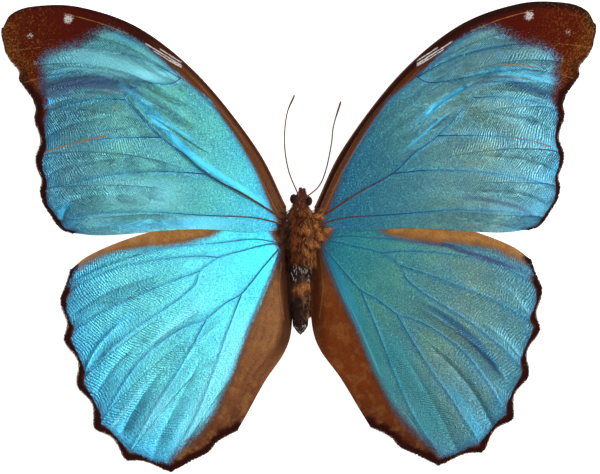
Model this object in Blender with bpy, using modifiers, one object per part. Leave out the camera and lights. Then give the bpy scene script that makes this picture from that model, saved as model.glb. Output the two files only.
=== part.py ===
"""Blue morpho butterfly (Morpho didius, male) at life size, wings spread, on a plain display stand.

Metres, +Z up. The head points along +Y and the animal's own right is +X.
The origin is the centre of the stand base's underside.
Tables below are in millimetres. Wing tables give (out, fore): the distance outwards from the
body's midline and forwards from the middle of the wing roots. Body heights are measured from
the level of the wing roots.
"""

import math

import bmesh
import bpy
from mathutils import Matrix, Vector

MM = 0.001

# Driving dimensions, in millimetres.
ROOT_HEIGHT = 32.0  # the wing roots above the table
ROOT_FORE = 9.3  # the wing roots in front of the base's centre
GAP = 0.3  # clearance between neighbouring solids
WING_THICKNESS = 0.5
WING_LEVEL = 0.5  # a forewing's root lies this far above the root level, a hindwing's below
DIHEDRAL = 0.135  # rise of the wings for each millimetre outwards, at the root
FLATTENING = 0.0008  # how that slope dies away outwards
FOLD_HEIGHT = 0.3  # the margin's waves: up at each vein, down between veins
DROOP_START = 40.0  # beyond this distance outwards a forewing's rear half droops
GUTTER_DEPTH = 4.5  # how far a hindwing's inner margin bends down beside the abdomen
GUTTER_START = 2.2  # the gutter is deepest at this distance outwards, and fades over its width
GUTTER_WIDTH = 2.6
CELLS_ALONG_WING = 10
TIP_CROWDING = 1.3  # makes the cells shorter towards the outer margin
CELLS_PER_INTERSPACE = 4
BODY_SIDES = 16
HEAD_TURN = math.radians(-8)
NECK = Vector((0.0, 6.45, 0.0))
FEELER_RADIUS = 0.25  # antennae and proboscis
EYE_RADII = (0.95, 1.2, 1.35)
EYE_PLACE = (1.75, 7.55, -0.95)  # the right eye's centre, before the head is turned
PALP_RADII = (0.42, 0.85, 0.5)
PALP_PLACE = (0.62, 9.62, -1.0)
PALP_TILT = math.radians(48)
COIL_CENTRE = (8.5, -4.75)  # the proboscis's coil: forwards, and height
COIL_TURNS, COIL_START, COIL_GROWTH = 1.75, 0.35, 0.6
BASE_LENGTH, BASE_WIDTH, BASE_THICKNESS = 64.0, 22.2, 4.5
ROD_RADIUS, CUP_RADIUS, CUP_HEIGHT, CUP_RIM = 1.2, 1.7, 1.4, 0.5
HOLE_DEPTH = 3.0
ROD_FORE = -0.8  # the rod's axis, measured from the wing roots

# Each margin row is a vein's end, then the depth and place of the notch that follows it.
FOREWING = {
    "costa": [
        (3.35, 6.0),
        (10.5, 19.9),
        (23.6, 36.5),
        (37.8, 47.9),
        (51.9, 52.9),
        (62.5, 53.1),
        (67.9, 51.3),
        (70.0, 48.0),
    ],
    "margin": [
        ((70.0, 48.0), -0.3, 0.3),
        ((69.3, 42.6), 0.85, 0.7),
        ((65.9, 35.6), 0.0, 0.5),
        ((62.7, 31.3), 0.5, 0.5),
        ((62.4, 26.6), 1.25, 0.5),
        ((62.2, 16.8), 0.75, 0.62),
        ((61.1, 9.4), -0.5, 0.35),
        ((57.7, 2.3), -0.5, 0.5),
        ((53.4, -0.3), 0.0, 0.5),
    ],
    "inner": [(3.4, 0.9), (10.7, -0.1), (25.6, 0.6), (45.4, -0.8), (53.4, -0.3)],
    "level": WING_LEVEL,
    "gutter": 0.0,
    "droop": 0.0022,
}
HINDWING = {
    "costa": [(3.5, 0.2), (11.8, 2.6), (21.2, 2.4), (31.8, 0.9), (41.7, -2.0), (49.7, -5.5), (53.9, -8.7)],
    "margin": [
        ((53.9, -8.7), 0.1, 0.5),
        ((56.4, -15.9), 1.1, 0.6),
        ((55.5, -25.3), 1.7, 0.52),
        ((52.4, -36.1), 1.6, 0.5),
        ((48.3, -46.2), 1.4, 0.45),
        ((40.9, -53.6), 0.8, 0.42),
        ((30.5, -56.4), 0.1, 0.5),
        ((21.8, -51.8), 0.7, 0.42),
        ((14.6, -46.4), 0.0, 0.5),
    ],
    "inner": [
        (3.5, -5.0),
        (2.15, -14.0),
        (2.1, -22.5),
        (3.8, -28.3),
        (8.3, -35.1),
        (12.5, -42.7),
        (14.6, -46.4),
    ],
    "level": -WING_LEVEL,
    "gutter": GUTTER_DEPTH,
    "droop": 0.0,
}
# How far each wing is swung forwards about its root, in degrees, and then slid (outwards, forwards).
SWING_CENTRE = {"forewing": (4.0, 3.0), "hindwing": (5.0, -4.0)}
SWING = {"forewing_left": 0.0, "forewing_right": 1.0, "hindwing_left": 0.0, "hindwing_right": 2.2}
SLIDE = {
    "forewing_left": (0.0, 0.0),
    "forewing_right": (0.0, -0.1),
    "hindwing_left": (0.0, 0.0),
    "hindwing_right": (0.0, 0.5),
}

# The body's sections: (fore, half width, half height, centre's height).
SECTIONS = [
    (-24.1, 0.3, 0.35, -3.9),
    (-23.3, 1.15, 1.1, -3.75),
    (-21.6, 1.9, 1.75, -3.4),
    (-18.0, 2.25, 2.1, -2.85),
    (-14.4, 2.4, 2.3, -2.4),
    (-11.0, 2.55, 2.55, -2.15),
    (-8.6, 2.8, 2.7, -2.0),
    (-7.2, 2.6, 2.5, -1.95),
    (-5.6, 2.9, 3.1, -1.85),
    (-3.5, 3.1, 3.6, -1.8),
    (-0.5, 3.2, 3.9, -1.7),
    (2.0, 3.1, 3.6, -1.6),
    (4.2, 2.75, 2.9, -1.5),
    (5.4, 2.35, 2.2, -1.35),
    (6.3, 1.85, 1.6, -1.25),
    (6.9, 1.7, 1.6, -1.15),
    (7.5, 1.9, 1.95, -1.1),
    (8.25, 1.75, 1.8, -1.15),
    (8.75, 1.2, 1.3, -1.2),
    (9.05, 0.45, 0.6, -1.25),
]
# The pieces that the body is parted into, each with the places of its rear and front cuts.
PIECES = {
    "abdomen": (-24.1, -7.25, 22),
    "thorax": (-6.95, 4.55, 12),
    "prothorax": (4.85, 5.8, 4),
    "head": (6.5, 9.05, 8),
}
COLOURS = {
    "forewing": (0.10, 0.50, 0.58),
    "hindwing": (0.08, 0.52, 0.62),
    "fur": (0.16, 0.07, 0.035),
    "dark": (0.03, 0.012, 0.009),
    "eye": (0.02, 0.011, 0.008),
    "base": (0.02, 0.02, 0.022),
    "rod": (0.55, 0.55, 0.56),
}


def material(name, roughness=0.6, metallic=0.0):
    made = bpy.data.materials.new(name)
    made.use_nodes = True
    shader = made.node_tree.nodes["Principled BSDF"]
    shader.inputs["Base Color"].default_value = (*COLOURS[name], 1.0)
    shader.inputs["Roughness"].default_value = roughness
    shader.inputs["Metallic"].default_value = metallic
    return made


def add_object(name, data, finish, parent):
    made = bpy.data.objects.new(name, data)
    data.materials.append(finish)
    made.parent = parent
    parts.objects.link(made)
    return made


def mesh_object(name, bm, finish, parent):
    mesh = bpy.data.meshes.new(name)
    bm.to_mesh(mesh)
    bm.free()
    mesh.shade_smooth()
    return add_object(name, mesh, finish, parent)


def cut_away(obj, cutter):
    """Moves the cutter to its own collection and subtracts it from the object."""
    parts.objects.unlink(cutter)
    cutters.objects.link(cutter)
    cutter.hide_render = True
    cutter.display_type = "WIRE"
    cut = obj.modifiers.new(cutter.name, "BOOLEAN")
    cut.operation = "DIFFERENCE"
    cut.object = cutter


def spline(points, fraction):
    """The point at a fraction of the way along a Catmull-Rom curve through the points."""
    points = [Vector(p) for p in points]
    padded = [points[0] * 2 - points[1], *points, points[-1] * 2 - points[-2]]
    spans = [(b - a).length for a, b in zip(points, points[1:])]
    left = min(max(fraction, 0.0), 1.0) * sum(spans)
    span = 0
    while span < len(spans) - 1 and left > spans[span]:
        left -= spans[span]
        span += 1
    t = left / spans[span]
    a, b, c, d = padded[span : span + 4]
    return (b * 2 + (c - a) * t + (a * 2 - b * 5 + c * 4 - d) * t**2 + (b * 3 - a - c * 3 + d) * t**3) / 2


def margin_point(rows, across):
    """A point of the scalloped outer margin; across runs from 0 at the costa to 1 at the inner margin."""
    place = min(max(across, 0.0), 1.0) * (len(rows) - 1)
    index = min(int(place), len(rows) - 2)
    t = place - index
    start, depth, notch = rows[index]
    end = rows[index + 1][0]
    chord = Vector(end) - Vector(start)
    inwards = Vector((chord.y, -chord.x)).normalized()
    skew = math.log(0.5) / math.log(notch)
    return Vector(start) + chord * t + inwards * depth * (1 - math.cos(2 * math.pi * t**skew)) / 2


def wing_plan(wing, along, across):
    """A Coons patch between the costa, the outer margin, the inner margin and the root."""
    costa, inner = spline(wing["costa"], along), spline(wing["inner"], along)
    root_front, root_rear = Vector(wing["costa"][0]), Vector(wing["inner"][0])
    root = root_front.lerp(root_rear, across)
    outer = margin_point(wing["margin"], across)
    tip, tail = Vector(wing["costa"][-1]), Vector(wing["inner"][-1])
    corners = root_front.lerp(root_rear, across).lerp(tip.lerp(tail, across), along)
    return costa.lerp(inner, across) + root.lerp(outer, along) - corners


def wing_height(wing, along, across, out):
    """Dihedral, the folds between the veins, the droop, and the hindwing's gutter beside the abdomen."""
    rise = DIHEDRAL * out - FLATTENING * out**2
    interspaces = len(wing["margin"]) - 1
    folds = FOLD_HEIGHT * along**2 * math.cos(2 * math.pi * interspaces * across)
    clear = max(out - GUTTER_START, 0.0) / GUTTER_WIDTH
    gutter = wing["gutter"] * across**2 * math.exp(-(clear**1.5))
    rearness = min(max((across - 0.1) / 0.4, 0.0), 1.0)
    weight = rearness * rearness * (3 - 2 * rearness)
    droop = wing["droop"] * max(out - DROOP_START, 0.0) ** 2 * weight
    return wing["level"] + rise + folds - droop - gutter


def set_out(point, kind, name):
    """A point of a wing's plan, swung about the root and slid to where that wing lies."""
    pivot = Vector(SWING_CENTRE[kind])
    turn = Matrix.Rotation(math.radians(SWING[name]), 2)
    return pivot + turn @ (point - pivot) + Vector(SLIDE[name])


def add_wing(kind, wing, side, finish, parent):
    name = f"{kind}_{side}"
    sign = -1 if side == "left" else 1
    bm = bmesh.new()
    cells = CELLS_PER_INTERSPACE * (len(wing["margin"]) - 1)
    bmesh.ops.create_grid(bm, x_segments=CELLS_ALONG_WING, y_segments=cells, size=0.5)
    for vert in bm.verts:
        along, across = 1 - (0.5 - vert.co.x) ** TIP_CROWDING, vert.co.y + 0.5
        plan = set_out(wing_plan(wing, along, across), kind, name)
        vert.co = Vector((sign * plan.x, plan.y, wing_height(wing, along, across, plan.x))) * MM
    obj = mesh_object(name, bm, finish, parent)
    skin = obj.modifiers.new("thickness", "SOLIDIFY")
    skin.thickness = WING_THICKNESS * MM
    skin.offset = 0.0


def section_at(fore):
    """The body's (half width, half height, centre's height) there, smoothly between the sections."""
    rows = SECTIONS
    k = 0
    while k < len(rows) - 2 and fore > rows[k + 1][0]:
        k += 1
    span = rows[k + 1][0] - rows[k][0]
    t = (fore - rows[k][0]) / span

    def slope(i, column):
        before, after = rows[max(i - 1, 0)], rows[min(i + 1, len(rows) - 1)]
        return (after[column] - before[column]) / (after[0] - before[0]) * span

    values = []
    for column in (1, 2, 3):
        a, b = rows[k][column], rows[k + 1][column]
        m, n = slope(k, column), slope(k + 1, column)
        values.append(a + m * t + (3 * (b - a) - 2 * m - n) * t**2 + (2 * (a - b) + m + n) * t**3)
    return values


def add_body_piece(name, finish, parent):
    rear, front, rings = PIECES[name]
    bm = bmesh.new()
    loops = []
    for ring in range(rings + 1):
        fore = rear + (front - rear) * ring / rings
        width, height, centre = section_at(fore)
        angles = [2 * math.pi * side / BODY_SIDES for side in range(BODY_SIDES)]
        places = [Vector((width * math.cos(a), fore, centre + height * math.sin(a))) for a in angles]
        loops.append([bm.verts.new(place * MM) for place in places])
    for lower, upper in zip(loops, loops[1:]):
        for side in range(BODY_SIDES):
            after = (side + 1) % BODY_SIDES
            bm.faces.new((lower[side], upper[side], upper[after], lower[after]))
    bm.faces.new(loops[0])
    bm.faces.new(reversed(loops[-1]))
    bmesh.ops.recalc_face_normals(bm, faces=bm.faces)
    return mesh_object(name, bm, finish, parent)


def add_ellipsoid(name, centre, radii, finish, parent, tilt=0.0, segments=14, rings=8):
    bm = bmesh.new()
    bmesh.ops.create_uvsphere(bm, u_segments=segments, v_segments=rings, radius=1.0)
    shape = Matrix.Translation(Vector(centre) * MM) @ Matrix.Rotation(tilt, 4, "X")
    bm.transform(shape @ Matrix.Diagonal((*[r * MM for r in radii], 1.0)))
    return mesh_object(name, bm, finish, parent)


def add_tube(name, points, radii, finish, parent):
    """A tube through the points, with a radius at each and closed ends."""
    data = bpy.data.curves.new(name, "CURVE")
    data.dimensions = "3D"
    data.bevel_depth = MM
    data.bevel_resolution = 1
    data.use_fill_caps = True
    line = data.splines.new("POLY")
    line.points.add(len(points) - 1)
    for point, place, radius in zip(line.points, points, radii):
        point.co = (*[v * MM for v in place], 1.0)
        point.radius = radius
    line.use_smooth = True
    return add_object(name, data, finish, parent)


def add_antenna(side, route, finish, parent):
    """A thin rod with a slight club along its last eighth."""
    count = 12
    points = [spline(route, i / count) for i in range(count + 1)]
    radii = [FEELER_RADIUS * (1.0 + 0.35 * max(0.0, (i / count - 0.85) / 0.15)) for i in range(count + 1)]
    add_tube(f"antenna_{side}", points, radii, finish, parent)


def add_proboscis(finish, parent):
    """The tongue, coiled like a watch spring under the head."""
    steps = 22
    points = []
    for step in range(steps + 1):
        turned = COIL_TURNS * step / steps
        angle, radius = 2 * math.pi * turned, COIL_START + COIL_GROWTH * turned
        fore, height = COIL_CENTRE
        points.append((0.0, fore + radius * math.cos(angle), height + radius * math.sin(angle)))
    add_tube("proboscis", points, [FEELER_RADIUS] * len(points), finish, parent)


def add_head(fur, dark, eye, parent):
    """The head with its eyes and palps, all turned a little to the animal's right."""
    turned = bpy.data.objects.new("head_turn", None)
    parts.objects.link(turned)
    turned.parent = parent
    turned.matrix_local = (
        Matrix.Translation(NECK * MM) @ Matrix.Rotation(HEAD_TURN, 4, "Z") @ Matrix.Translation(-NECK * MM)
    )
    head = add_body_piece("head", fur, turned)
    for side, sign in (("left", -1), ("right", 1)):
        place = (sign * EYE_PLACE[0], *EYE_PLACE[1:])
        add_ellipsoid(f"eye_{side}", place, EYE_RADII, eye, turned)
        socket = add_ellipsoid(f"socket_{side}", place, [r + GAP for r in EYE_RADII], eye, turned)
        cut_away(head, socket)
        palp = (sign * PALP_PLACE[0], *PALP_PLACE[1:])
        add_ellipsoid(f"palp_{side}", palp, PALP_RADII, dark, turned, PALP_TILT, 10, 6)


def add_legs(finish, parent):
    """Six legs folded under the thorax, as in flight; the forelegs are the short brushes of the family."""
    routes = {
        "foreleg": [(1.1, 3.4, -5.2), (1.5, 4.6, -5.6), (1.35, 6.0, -5.0), (1.3, 6.9, -4.6)],
        "midleg": [
            (1.95, 0.9, -5.7),
            (2.3, 1.3, -6.5),
            (5.4, 3.2, -6.3),
            (3.9, -3.6, -7.3),
            (3.4, -8.2, -7.6),
        ],
        "hindleg": [
            (1.9, -2.9, -5.4),
            (2.3, -3.4, -6.1),
            (5.0, -5.6, -5.4),
            (2.9, -11.4, -6.9),
            (2.5, -16.0, -7.3),
        ],
    }
    for kind, route in routes.items():
        radii = [0.42, 0.42, 0.34, 0.27, 0.25][: len(route)]
        for side, sign in (("left", -1), ("right", 1)):
            add_tube(f"{kind}_{side}", [(sign * x, y, z) for x, y, z in route], radii, finish, parent)


def add_stand(base_finish, rod_finish):
    """An oval base with a blind hole, and a rod that rises from it to a small cup under the thorax."""
    bm = bmesh.new()
    bmesh.ops.create_cone(bm, cap_ends=True, segments=40, radius1=0.5, radius2=0.5, depth=1.0)
    size = Vector((BASE_LENGTH, BASE_WIDTH, BASE_THICKNESS)) * MM
    bm.transform(Matrix.Translation((0, 0, size.z / 2)) @ Matrix.Diagonal((*size, 1.0)))
    base = mesh_object("stand_base", bm, base_finish, None)
    axis = (0.0, (ROOT_FORE + ROD_FORE) * MM)
    bm = bmesh.new()
    hole_radius, hole_length = ROD_RADIUS + GAP, HOLE_DEPTH * 2
    size = {"radius1": hole_radius * MM, "radius2": hole_radius * MM, "depth": hole_length * MM}
    bmesh.ops.create_cone(bm, cap_ends=True, segments=12, **size)
    hole = mesh_object("rod_hole", bm, base_finish, None)
    hole.location = (*axis, BASE_THICKNESS * MM)
    edge = base.modifiers.new("edge", "BEVEL")
    edge.width = 0.7 * MM
    edge.segments = 2
    edge.limit_method = "ANGLE"
    cut_away(base, hole)

    foot = BASE_THICKNESS - HOLE_DEPTH + GAP
    _, half_height, centre = section_at(ROD_FORE)
    top = ROOT_HEIGHT + centre - half_height - GAP
    cup = [(0, top), (CUP_RADIUS, top), (CUP_RADIUS, top - CUP_RIM), (ROD_RADIUS, top - CUP_HEIGHT)]
    profile = [*cup, (ROD_RADIUS, foot), (0, foot)]
    bm = bmesh.new()
    verts = [bm.verts.new((x * MM, 0.0, z * MM)) for x, z in profile]
    for a, b in zip(verts, verts[1:]):
        bm.edges.new((a, b))
    rod = mesh_object("stand_rod", bm, rod_finish, None)
    rod.location = (*axis, 0.0)
    turn = rod.modifiers.new("turn", "SCREW")
    turn.steps = turn.render_steps = 16
    turn.use_merge_vertices = True
    turn.merge_threshold = 0.00001


def main():
    fur, dark = material("fur", 0.85), material("dark", 0.6)
    eye = material("eye", 0.2)
    plates = {"forewing": material("forewing", 0.35, 0.3), "hindwing": material("hindwing", 0.35, 0.3)}
    roots = bpy.data.objects.new("wing_roots", None)
    parts.objects.link(roots)
    roots.location = (0.0, ROOT_FORE * MM, ROOT_HEIGHT * MM)

    for kind, wing in (("forewing", FOREWING), ("hindwing", HINDWING)):
        for side in ("left", "right"):
            add_wing(kind, wing, side, plates[kind], roots)
    for name in ("prothorax", "thorax", "abdomen"):
        add_body_piece(name, fur, roots)
    add_head(fur, dark, eye, roots)
    antennae = {
        "left": [
            (-0.6, 8.98, 0.3),
            (-2.8, 14.5, 2.3),
            (-3.75, 21.0, 3.7),
            (-3.2, 27.6, 4.9),
            (-1.4, 32.2, 5.6),
        ],
        "right": [
            (1.7, 8.45, 0.35),
            (4.35, 10.8, 1.7),
            (6.0, 14.6, 2.4),
            (7.3, 20.8, 3.7),
            (7.8, 25.0, 4.6),
            (9.5, 30.7, 5.6),
        ],
    }
    for side, route in antennae.items():
        add_antenna(side, route, dark, roots)
    add_proboscis(dark, roots)
    add_legs(dark, roots)
    add_stand(material("base", 0.4), material("rod", 0.3, 1.0))


for old in list(bpy.data.objects):
    bpy.data.objects.remove(old)
parts = bpy.data.collections.new("blue_morpho_butterfly")
cutters = bpy.data.collections.new("cutters")
for group in (parts, cutters):
    bpy.context.scene.collection.children.link(group)
main()
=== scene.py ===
"""The looks of the blue morpho butterfly: scaled wings, furred body and materials, around the CAD frame.

Tables are in millimetres. Wing tables give (out, fore): the distance outwards from the body's midline
and forwards from the middle of the wing roots, for a wing before it is swung about its root. Body heights
are measured from the level of the wing roots. Everything else is in metres, in the frame's own axes.
"""

import math

import bmesh
import bpy
import numpy as np
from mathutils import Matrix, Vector
from mathutils.bvhtree import BVHTree
from mathutils.kdtree import KDTree


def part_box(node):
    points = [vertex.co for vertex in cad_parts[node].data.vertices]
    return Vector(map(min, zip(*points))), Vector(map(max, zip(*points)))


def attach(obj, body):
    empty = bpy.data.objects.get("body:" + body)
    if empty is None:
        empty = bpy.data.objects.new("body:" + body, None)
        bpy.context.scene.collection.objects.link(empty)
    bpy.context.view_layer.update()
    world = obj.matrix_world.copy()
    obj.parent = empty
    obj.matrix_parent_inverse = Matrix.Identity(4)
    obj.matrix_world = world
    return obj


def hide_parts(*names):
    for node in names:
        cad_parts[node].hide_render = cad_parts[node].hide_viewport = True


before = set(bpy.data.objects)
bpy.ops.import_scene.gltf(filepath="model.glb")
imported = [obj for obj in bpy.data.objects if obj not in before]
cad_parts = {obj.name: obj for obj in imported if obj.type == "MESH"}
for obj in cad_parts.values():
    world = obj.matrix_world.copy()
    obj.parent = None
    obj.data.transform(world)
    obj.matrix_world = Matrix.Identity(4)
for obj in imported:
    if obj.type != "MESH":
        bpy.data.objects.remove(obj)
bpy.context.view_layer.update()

MM = 0.001
SIGN = {"left": -1, "right": 1}

# The wings' form, as the frame's wings have it. A right wing is swung forwards, by degrees, about a point at
# its root, and slid forwards or back.
ROOT = np.array([0, 9.3, 32])  # the middle of the wing roots
WING_LEVEL = 0.5
DIHEDRAL = 0.135
FLATTENING = 0.0008
GUTTER_DEPTH, GUTTER_START, GUTTER_WIDTH = 4.5, 2.2, 2.6
SWING_CENTRE = {"forewing": (4, 3), "hindwing": (5, -4)}
SWING = {"forewing": 1, "hindwing": 2.2}
SLIDE = {"forewing": -0.1, "hindwing": 0.5}
INTERSPACES = 8
DROOP_START = 40  # beyond this distance outwards a forewing's rear corner droops

# Fineness of the wings' meshes. The underside has one cell for each four above.
CELLS_OUT, CELLS_ACROSS = 272, 256
CROWDING = 1.4  # how much the cells crowd towards the outer margin
LINE_STEP = 1.6  # how long the straight stretches are that stand for a curved line
HALF_THICKNESS = 0.08

# Relief: ridges over the veins, and each kind of wave's height and its lengths along and across the wing.
VEIN_WIDTH = 0.9
RIDGE_HEIGHT, RIDGE_REACH = 0.045, 0.34
GRAIN, BUCKLES = (0.007, 0.42, 0.5), (0.06, 6.5, 2.6)
RIPPLE_WAVE = 0.56
BREADTH = 0.85  # a wing's breadth over its length, for waves
NOISE_SEEDS = {
    ("forewing", "left"): 11,
    ("forewing", "right"): 111,
    ("hindwing", "left"): 47,
    ("hindwing", "right"): 147,
}

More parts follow.
